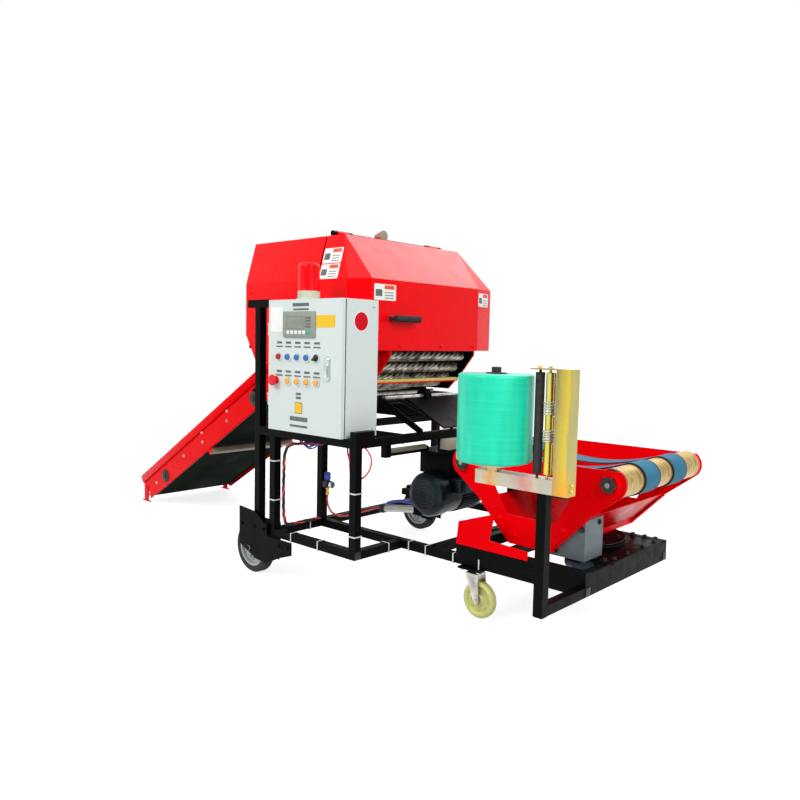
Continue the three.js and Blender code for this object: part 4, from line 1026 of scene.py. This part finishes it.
def make_deck_drive():
    """The steel shafts and pulley in the outlet, and the bare tubes and struts under the deck."""
    ramp = limits("exit_ramp")
    z = ramp.z[1] - 14
    shafts = Shape()
    for x in (-211, -400):
        shafts.rod((x, ramp.y[0] + 9, z), (x, ramp.y[1] - 9, z), 10, 32)
    shafts.place("outlet_shafts", paint.steel, "machine", "zinc_steel")
    outline = [(10.3, 0), (30, 0), (30, 3), (25, 7), (25, 9), (30, 12),
               (30, 15), (25, 19), (25, 21), (30, 25), (30, 28), (10.3, 28)]
    turned("outlet_pulley", paint.black, "machine", "machine_black", outline, (-211, 578, z), Y)

    bare = Shape()
    bare.rod((-102, 271, 510), (-102, 476, 510), 12.6, 28)
    bare.box((-8, 38), (455, 560), (514, 554), 2.0)
    bare.place("bare_tubes", paint.beige, "machine", "bracket_grey")

    struts = Shape()
    for y in (430, 640):
        struts.rod((-200, y, 690), (-14, y + 110, DECK_LOW + 34), 7, 16)
    struts.place("outlet_struts", paint.black, "machine", "machine_black")


def make_air_parts():
    """The air cylinder's barrel and cap, and the regulator with its knob, dial and nipple."""
    left, right = Vector((-298, 447, 236)), Vector((-118, 447, 262))
    length = (right - left).length
    direction = (right - left).normalized()
    barrel = Shape().lathe([(0, 16), (14.6, 16), (14.6, length - 14), (0, length - 14)], left, direction, 40)
    for start in (0, length - 14):
        barrel.lathe([(0, start), (15.4, start), (15.9, start + 2), (15.9, start + 14), (15.4, start + 16),
                      (0, start + 16)], left, direction, 40)
    barrel.place("air_barrel", paint.aluminium, "machine", "cylinder_metal", ("air_cylinder",))

    ends = Shape()
    ends.box((left.x - 3.7, left.x + 20), (left.y - 17.5, left.y + 17.5), (left.z - 15, left.z + 19), 3)
    ends.rod(left + direction * (length - 2), left + direction * (length + 3), 9, 20)
    ends.place("air_barrel_cap", paint.plastic, "machine", "black_plastic")

    block = limits("air_regulator")
    x, y = block.x[0] + 17, block.middle.y
    body = Shape().box((block.x[0], x + 13), (y - 14, y + 14), (330, 356), 2.5)
    body.rod((x, y, 356), (x, y, 361), 10, 28)
    body.rod((x + 12, y, 343), (x + 22, y, 343), 8, 24)
    body.place("regulator_block", paint.plastic, "machine", "black_plastic", ("air_regulator",))

    ribs = 14
    cap = Shape().rings([
        [spun((x, y, height), X, Y, angle, radius - (1.1 if i % 4 in (1, 2) else 0))
         for i, angle in enumerate(around(ribs * 4))]
        for height, radius in ((361, 11), (363, 12.5), (388, 12.5), (391, 10.5))
    ])
    cap.place("regulator_cap", paint.hose_blue, "machine", "hose_blue")
    turned("regulator_dial", paint.chrome, "machine", "lock_chrome",
           [(0, 0), (14, 0), (14, 9), (12, 11), (12, 9.4), (0, 9.4)], (x + 21, y, 343), X, 36)
    turned("regulator_nipple", paint.gold, "machine", "yellow_zinc",
           [(0, 0), (7.5, 0), (7.5, 9), (6, 10), (6, 22), (7.5, 23), (7.5, 30), (0, 30)], (x, y, 300), Z, 20)


def make_cabinet_leads():
    """Three leads twisted round each other on the route of the cabinet's cable."""
    inside = STAND_LEFT + TUBE + 9
    under = limits("cabinet_body").z[0] - 0.6
    above = RAIL_TOP + 10
    centre = curve_through([
        (-250, 110, under - 0.2), (-252, 108, under - 25), (-280, 100, under - 47), (-350, 80, under - 53),
        (inside + 20, 50, under - 65), (inside + 2, 40, under - 105), (inside, 38, under - 185),
        (inside, 38, above + 70), (inside + 4, 44, above + 12),
        *((inside + 4, y, above) for y in (70, 140, 220)),
    ], 14)
    strands = ([], [], [])
    travelled, last = 0.0, centre[0]
    for point, side, up in frames_along(centre):
        travelled += (point - last).length
        last = point
        for strand, angle in zip(strands, around(3)):
            strand.append(spun(point, side, up, travelled / 16 + angle, 3.6))
    for strand, (name, finish, slot, replaced) in zip(strands, (
        ("lead_red", paint.hose_red, "hose_red", ("cabinet_cable",)),
        ("lead_black", paint.plastic, "black_plastic", ()),
        ("lead_dark", paint.grip, "black_plastic", ()),
    )):
        Shape().tube(strand, 3.1, 8, 1).place(name, finish, "machine", slot, replaced)


def make_lead_bundle():
    """Spare loops of thin leads, hung under the cabinet."""
    under = limits("cabinet_body").z[0]
    for index, (name, finish, slot) in enumerate((
        ("loops_red", paint.hose_red, "hose_red"), ("loops_blue", paint.hose_blue, "hose_blue"),
        ("loops_purple", paint.purple, "hose_blue"),
    )):
        shape = Shape()
        for k in range(4):
            y = 38 + 8 * k + 3 * index
            drift = noise.noise_vector(Vector((index * 3.1, k * 2.7, 0.5))) * 14
            left, right = -352 + 5 * k + drift.x, -236 - 7 * k + drift.y
            middle = (left + right) / 2
            sag = 46 + 8 * ((k + index) % 3) + drift.z
            shape.tube([
                (left, y, under), (left + 8, y, under - sag * 0.7),
                (middle - 16, y + 4, under - sag), (middle + 20, y - 3, under - sag * 0.92),
                (right - 8, y, under - sag * 0.6), (right, y, under),
            ], 2.2, 8)
        shape.place(name, finish, "machine", slot)


def make_red_loops():
    """Red air line that hangs under the deck, loops round the corner leg and runs down beside it."""
    deck = limits("cabinet_body").z[0] - 30.3
    shape = Shape()
    for route in (
        [(-84, 40, deck), (-80, 38, deck - 26), (-60, 35, deck - 64), (-38, 35, deck - 92),
         (-14, 36, deck - 106), (6, 44, deck - 92), (15, 56, deck - 66), (12, 62, deck - 36),
         (2, 58, deck - 14), (-8, 52, deck)],
        [(-66, 34, deck), (-65, 34, deck - 60), (-56, 35, deck - 150), (-47, 36, deck - 240),
         (-42, 35, deck - 310), (-38, 33, RAIL_TOP + 13), (-34, 27, RAIL_TOP + 2.5)],
    ):
        shape.tube(route, 3, 8, 8)
    shape.place("red_loops", paint.hose_red, "machine", "hose_red")


def make_ties():
    """White cable ties round the frame tubes."""
    shape = Shape()
    half = TUBE / 2 + 1.0
    near, left, right = TUBE / 2, STAND_LEFT + TUBE / 2, -TUBE / 2
    for centre, axis in (
        *(((x, near, z + rise), Z) for z in (251, 401) for x, rise in ((right, 0), (left, 60))),
        *(((x, NEAR_RAIL + near, RAIL_MIDDLE), X) for x in (35, 115, 240, 350)),
        *(((x, near, RAIL_MIDDLE), X) for x in (-340, -190)),
        ((right, 170, RAIL_MIDDLE), Y), ((left, 180, RAIL_MIDDLE), Y),
    ):
        side, up = across(axis)
        shape.rings([
            [Vector(centre) + (side * a + up * b) * (half * scale) + axis * along
             for a, b in ((-1, -1), (1, -1), (1, 1), (-1, 1))]
            for scale, along in ((1.0, -2.2), (1.0, 2.2), (1.08, 2.2), (1.08, -2.2))
        ], loop=True)
        shape.box(*((c - 2.4, c + 2.4) for c in Vector(centre) + (side + up) * half), 0.6)
    shape.place("cable_ties", paint.tie, "machine", "panel_grey", smooth=20)


def make_frame_details():
    """Weld beads, tube end caps and bolts on the black frame."""
    near, far = 1, TUBE - 1  # the corners of a tube, just inside its edges
    seams = []
    for x in (STAND_LEFT, -TUBE):
        inner = x + TUBE if x == STAND_LEFT else x
        for z in (RAIL_TOP + 0.3, DECK_LOW):
            seams += [((x + near, 0, z), (x + far, 0, z)), ((inner, near, z), (inner, far, z))]
            seams += [((x + near, y, z), (x + far, y, z)) for y in (NEAR_RAIL, FAR_RAIL)]
    behind, corner = NEAR_RAIL + TUBE, TABLE_RIGHT - TUBE
    seams += [((x + near, behind, z), (x + far, behind, z)) for x in (110, 325) for z in (RAIL_LOW, RAIL_TOP)]
    seams += [((corner, y, RAIL_LOW + 2), (corner, y, RAIL_TOP - 2)) for y in (NEAR_RAIL, behind)]
    welds = Shape()
    for start, end in seams:
        start, end = Vector(start), Vector(end)
        count = max(4, int((end - start).length / 3))
        welds.tube([
            start.lerp(end, i / count) + noise.noise_vector(start + X * i) * 0.5 for i in range(count + 1)
        ], 2.0, 6, 1)
    welds.place("weld_beads", paint.black, "machine", "machine_black")

    base, fork = limits("base_frame"), limits("near_wheel_fork")
    deep = 2.2
    first, rail, bar = (near, far), (RAIL_LOW + 1, RAIL_TOP - 1), (fork.z[1] - far, fork.z[1] - near)
    blocks("tube_caps", paint.plastic, "machine", "black_plastic", [
        ((TABLE_RIGHT - far, TABLE_RIGHT - near), first, (167.6, RAIL_LOW)),
        ((base.x[0] - deep, base.x[0]), (FAR_RAIL + near, FAR_RAIL + far), rail),
        ((1, deep), first, rail),
        ((TABLE_RIGHT, TABLE_RIGHT + deep), (791, 819), rail),
        ((TABLE_RIGHT, TABLE_RIGHT + deep), (NEAR_RAIL + near, NEAR_RAIL + far), rail),
        ((-613 - deep, -613), first, bar),
        ((-487, -487 + deep), first, bar),
    ])

    bolts = Shape()
    for x, z, size in ((-560, 190, 10), (-495, 190, 10), (-400, 145, 9), (-350, 145, 9)):
        bolts.bolt((x, -12, z), -Y, size, 4)
    bolts.place("frame_bolts", paint.black, "machine", "machine_black")


# ---------------------------------------------------------------- wrapping table


def make_table():
    """Straps, bolts, motor and slewing ring of the table, and the turning disc with its bolts."""
    base, plate = limits("table_base"), limits("turntable_plate")
    x, y = plate.middle.x, plate.middle.y
    top = base.z[1] - 10
    deck = Shape()
    for middle in (y - 190, y + 190):
        deck.box((x - 60, TABLE_RIGHT), (middle - 14, middle + 14), (top - 6, top + 3), 1.5)
    deck.box((600, TABLE_RIGHT - 0.4), (y - 220, y + 180), (top - 2, top + 2.6), 1.2)
    deck.place("table_straps", paint.black, "machine", "machine_black")

    bolts = Shape()
    for side in (-1, 1):
        for dx in (130, 175, 215):
            bolts.bolt((x + dx, y + side * 190, top + 3), Z, 13, 7)
    for dy in (-150, -60, 60, 150):
        bolts.bolt((x + 228, y + dy, top + 2.6), Z, 11, 6)
    bolts.place("table_bolts", paint.plastic, "machine", "black_plastic")

    motor = Shape()
    motor.rod((560, 505, 190), (690, 505, 190), 33, 40, 3)
    motor.rod((530, 505, 190), (560, 505, 190), 24, 32, 3)
    motor.box((600, 650), (470, 505), (185, 218), 3)
    motor.place("table_motor", paint.motor, "machine", "motor_paint")

    turned("slewing_ring", paint.steel, "machine", "zinc_steel", [(82, 0), (112, 0), (112, 6), (82, 6)],
           (x, y, base.z[1] - 10.3), Z, 64)
    outline = [(0, -0.4), (174, -0.4), (175.6, 1), (175.6, 9), (174, 10.5), (0, 10.5)]
    turned("turntable_disc", paint.black, "turntable", "machine_black", outline, (x, y, plate.z[0]), Z, 72)

    heads = Shape()
    for turn in (1, -1):
        heads.bolt((x + turn * 190, y - turn * 186, plate.z[1] - 16), X * turn, 11, 6)
        heads.bolt((x + turn * 178, y - turn * 275, plate.z[1] - 30), -Y * turn, 11, 6)
    for angle in around(8, 22):
        heads.bolt(spun((x, y, plate.z[0] + 10), X, Y, angle, 150), Z, 10, 5)
    heads.place("turntable_bolts", paint.plastic, "turntable", "black_plastic")


def make_cradle_rollers():
    """Drums of the cradle with their end rings, star knobs and hubs."""
    lobes = 6
    for end in ("front", "back"):
        name = f"cradle_{end}_roller"
        node = limits(name)
        x, z, radius = node.middle.x, node.middle.z, node.radius
        low, high = node.y[0] + 25.5, node.y[1] - 25.5
        drum = Shape().lathe(mirrored([(0, 0), (radius - 2, 0), (radius, 2)], high - low), (x, low, z), Y, 72)
        for start, stop in ((node.y[0], low + 1), (high - 1, node.y[1])):
            drum.rod((x, start, z), (x, stop, z), 9.8, 28)
        drum.place(f"cradle_{end}_drum", paint.drum, "turntable", "yellow_zinc", (name,))

        outline = [(30, 0), (radius - 0.5, 0), (radius + 0.2, 2), (radius + 0.2, 12), (radius - 1, 13),
                   (30, 13)]
        for which, y, inward, finish, slot in (
            ("near", low - 3.2, Y, paint.plastic, "black_plastic"),
            ("far", high + 3.2, -Y, paint.salmon, "yellow_zinc"),
        ):
            turned(f"cradle_{end}_{which}_ring", finish, "turntable", slot, outline, (x, y, z), inward, 64)

        knobs, hubs = Shape(), Shape()
        for place, outward in facing_out(node.y[0] + 5.7, node.y[1] - 5.7, [(x, z)]):
            side, up = across(outward)
            star = [(angle, 24 + 3.2 * cos(lobes * angle)) for angle in around(60)]
            knobs.rings([
                [spun(place, side, up, angle, reach * scale) + outward * depth for angle, reach in star]
                for depth, scale in ((0, 0.94), (1, 1), (9, 1), (11, 0.9))
            ])
            for angle in around(lobes):
                knobs.lathe([(0, -1), (3.4, -1), (3.4, 1.2), (0, 1.2)],
                            spun(place, side, up, angle, 17) + outward * 11, outward, 12)
            hubs.lathe([(0, 10), (8, 10), (8, 13), (6, 14.4), (0, 14.4)], place, outward, 28)
        knobs.place(f"cradle_{end}_knobs", paint.plastic, "turntable", "black_plastic")
        hubs.place(f"cradle_{end}_hubs", paint.beige, "turntable", "yellow_zinc")


def sagging_loop(reach):
    """The run of a belt over both cradle rollers, which hangs down between them above and below."""
    front, back = limits("cradle_front_roller"), limits("cradle_back_roller")
    half_span = (front.middle.x - back.middle.x) / 2
    centre = Vector(((front.middle.x + back.middle.x) / 2, 0, front.middle.z))
    steps = 32
    points = []

    def rim(side, angle):
        """A point of the belt on the front or back roller."""
        return spun(centre + X * side * half_span, X * side, Z, angle, reach)

    sag_top, sag_under = 48.0, 52.0
    high = pi / 2 + atan(2 * sag_top / half_span)
    low = -pi / 2 + atan(2 * sag_under / half_span)
    for side, start, end, sag in ((1, high, low, sag_under), (-1, low, high, sag_top)):
        points += [rim(side, start + (end - start) * i / steps) for i in range(steps + 1)]
        for t in (i / steps for i in range(1, steps)):
            points.append(rim(side, end).lerp(rim(-side, end), t) - Z * (4 * sag * t * (1 - t)))
    return points


def make_cradle_belts():
    """The webbing of the two cradle belts, with soft edges."""
    inside = limits("cradle_front_roller").radius + 0.6
    thickness = 4.0
    edge = 0.8
    inner, outer = sagging_loop(inside), sagging_loop(inside + thickness)
    for side in ("near", "far"):
        name = f"cradle_{side}_belt"
        y0, y1 = limits(name).y
        section = ((0, y0 + edge), (0, y1 - edge), (0.3, y1), (0.7, y1),
                   (1, y1 - edge), (1, y0 + edge), (0.7, y0), (0.3, y0))
        webbing = Shape().rings([
            [low.lerp(high, share) + Y * y for share, y in section] for low, high in zip(inner, outer)
        ], loop=True)
        finish = belt_finish(at(0, (y0 + y1) / 2, 0).y, y1 - y0)
        webbing.place(f"{side}_belt_webbing", finish, "turntable", "belt_blue", (name,), 50)


def make_cradle_details():
    """Flanges along the cradle's V and bolts on its plates."""
    node = limits("cradle_frame")
    x = node.middle.x
    near, far = node.y[0] + 10, node.y[1] - 10
    flanges = Shape()
    for y, out in ((near, -1), (far, 1)):
        for side in (-1, 1):
            flanges.rings([
                [Vector((x + side * a, depth, b)) for a, b in ((78, 264), (196, 385), (199, 382), (82, 262))]
                for depth in sorted((y - out * 0.3, y - out * 22))
            ])
    flanges.place("cradle_flanges", paint.red_frame, "turntable", "machine_red")
    spots = [(x + side * dx, z) for side in (-1, 1) for dx, z in ((60, 290), (120, 340), (214, 470))]
    bolted("cradle_bolts", paint.red_frame, "turntable", "machine_red", facing_out(near, far, spots), 9, 5)


# ---------------------------------------------------------------- film stand


def make_film():
    """The wound roll of film and its core."""
    node = limits("film_roll")
    radius, height = node.radius, node.size.z
    start = Vector((node.middle.x, node.middle.y, node.z[0]))
    bands = 24
    turns = []
    for share in ((i + 0.5) / bands for i in range(bands)):
        swell = 0.5 * noise.noise(Vector((0.0, 0.0, share * 9)))
        turns.append((radius - 0.4 + min(0.0, swell), 5 + (height - 10) * share))
    outline = mirrored([(38, 0.5), (radius - 7, 0.3), (radius - 2.5, 2), (radius - 0.6, 5)], height, turns)
    turned("wound_film", paint.film, "film_roll", "film_teal", outline, start, Z, 96, ("film_roll",), 50)
    outline = [(12.7, 0.2), (38, 0.2), (38, height - 0.2), (36, height), (14, height), (12.7, height - 1)]
    turned("film_core", paint.beige, "film_roll", "bracket_grey", outline, start, Z)


def make_stretch_rollers():
    """The black and the gold roller that stretch the film, each on its rod."""
    for colour, finish, slot in (("black", paint.grip, "black_plastic"), ("gold", paint.gold, "yellow_zinc")):
        name = f"stretch_roller_{colour}"
        node = limits(name)
        x, y, radius, length = node.middle.x, node.middle.y, node.radius, node.size.z
        shape = Shape().lathe([(0, 9.7), (radius - 1, 9.7), (radius, 11), (radius, length - 9),
                               (radius - 1, length - 7.7), (0, length - 7.7)], (x, y, node.z[0]), Z, 40)
        shape.rod((x, y, node.z[0]), (x, y, node.z[1]), 3.9, 20)
        shape.place(f"{colour}_stretch_roller", finish, name, slot, (name,))


def make_film_fittings():
    """Pressure springs, bolts, back strip and the cap over the film roll."""
    gold, black = limits("stretch_roller_gold"), limits("stretch_roller_black")
    channel = limits("film_channel")
    x, y = gold.middle.x, gold.middle.y
    springs = Shape()
    steps, coils = 14, 5
    for low, high in ((656, 690), (730, 768)):
        springs.tube([
            spun((x, y, low + (high - low) * i / (steps * coils)), X, Y, 2 * pi * i / steps, 15)
            for i in range(steps * coils + 1)
        ], 2.3, 8, 1)
        springs.rod((x + 12, y, low + 10), (channel.x[1] - 3, y, low + 10), 2.4, 12)
    springs.place("pressure_springs", paint.aluminium, "machine", "zinc_steel")

    bolts = Shape()
    for z in (channel.z[0] + 14, channel.z[0] + 30):
        bolts.bolt((channel.x[1], channel.middle.y, z), X, 9, 4)
    for roller in (gold, black):
        bolts.bolt((roller.middle.x, y, channel.z[1]), Z, 9, 5)
    bolts.place("film_stand_bolts", paint.gold, "machine", "yellow_zinc")

    blocks("roller_back_strip", paint.zinc, "machine", "yellow_zinc", [
        ((x - 9, x + 9), (channel.y[1] - 9, channel.y[1] - 5), (gold.z[0] + 8, gold.z[1] - 8)),
    ], 1.2)

    roll = limits("film_roll")
    above = (roll.middle.x, roll.middle.y, roll.z[1] + 0.6)
    cap = Shape().lathe([(0, 0), (30, 0), (30, 2), (28, 3), (0, 3)], above, Z, 32)
    cap.lathe([(0, 0), (14, 0), (14, 17.4), (12.5, 18.6), (0, 18.6)], above, Z, 28)
    cap.place("film_cap", paint.plastic, "machine", "black_plastic")


# ---------------------------------------------------------------- stage

MIDDLE = (cad_box[0] + cad_box[1]) / 2


def make_stage():
    """A wide pale floor just below the machine."""
    half = 40.0
    shape = bmesh.new()
    shape.faces.new([
        shape.verts.new((MIDDLE.x + a * half, MIDDLE.y + b * half, cad_box[0].z - 0.0005))
        for a, b in ((-1, -1), (1, -1), (1, 1), (-1, 1))
    ])
    floor = bpy.data.meshes.new("studio_floor")
    shape.to_mesh(floor)
    shape.free()
    stage = bpy.data.objects.new("studio_floor", floor)
    bpy.context.scene.collection.objects.link(stage)
    finish = Finish("studio_floor", Roughness=0.9, Specular_IOR_Level=0.1, Base_Color=(0.55, 0.55, 0.55, 1),
                    Emission_Color=(1, 1, 1, 1))
    finish.link(finish.maths("MULTIPLY", seen_directly(finish.tree), 0.8), "Emission Strength")
    floor.materials.append(finish.material)


def make_world():
    """White surroundings, brighter where they are seen than where they only light the scene."""
    world = bpy.data.worlds.new("studio")
    bpy.context.scene.world = world
    world.use_nodes = True
    tree = world.node_tree
    seen = seen_directly(tree)
    level = add_node(tree, "ShaderNodeMapRange", {"Value": seen, "To Min": 0.42, "To Max": 1.0})
    background = tree.nodes["Background"]
    background.inputs["Color"].default_value = (1, 1, 1, 1)
    tree.links.new(level.outputs[0], background.inputs["Strength"])


def make_lights():
    """Three rectangular lamps that look at the middle of the machine."""
    for name, offset, size, power in (
        ("key", (-0.4, -4.6, 3.6), (3.4, 3.0), 190),
        ("side", (4.6, -1.4, 2.4), (2.6, 2.6), 130),
        ("back", (0.0, 4.4, 4.6), (5.0, 3.2), 170),
    ):
        lamp = bpy.data.lights.new(name, "AREA")
        lamp.shape = "RECTANGLE"
        lamp.size, lamp.size_y = size
        lamp.energy = power
        light = bpy.data.objects.new(name, lamp)
        light.location = MIDDLE + Vector(offset)
        light.rotation_euler = (-Vector(offset)).to_track_quat("-Z", "Y").to_euler()
        bpy.context.scene.collection.objects.link(light)


def make_camera():
    """The camera stands before the near right corner of the machine and looks along it."""
    turn, tilt, roll = (radians(angle) for angle in (42.51, 4.574, 1.181))
    forward = Vector((-sin(turn) * cos(tilt), cos(turn) * cos(tilt), -sin(tilt)))
    right = Vector((cos(turn), sin(turn), 0))
    up = right.cross(forward)
    matrix = Matrix((
        right * cos(roll) + up * sin(roll), up * cos(roll) - right * sin(roll), -forward,
    )).transposed().to_4x4()
    matrix.translation = at(1803.8, -1752.9, 927.6)
    lens = bpy.data.cameras.new("camera")
    lens.sensor_width = 36.0
    lens.lens = 33.72
    camera = bpy.data.objects.new("camera", lens)
    camera.matrix_world = matrix
    bpy.context.scene.collection.objects.link(camera)
    bpy.context.scene.camera = camera
    bpy.context.scene.view_settings.view_transform = "Standard"


# ---------------------------------------------------------------- assembly

make_camera()
make_world()
make_lights()
make_stage()
make_tailgate_rollers()
make_chamber_skins()
make_hood_labels()
make_hood_screws()
make_hood_edges()
make_gate_lining()
make_horn()
make_handle()
make_buttons()
make_display()
make_door_plates()
make_lock()
make_cabinet_trim()
make_beacon()
make_road_wheels()
make_casters()
make_conveyor()
make_motor()
make_deck_drive()
make_air_parts()
make_cabinet_leads()
make_lead_bundle()
make_red_loops()
make_ties()
make_frame_details()
make_table()
make_cradle_rollers()
make_cradle_belts()
make_cradle_details()
make_film()
make_stretch_rollers()
make_film_fittings()
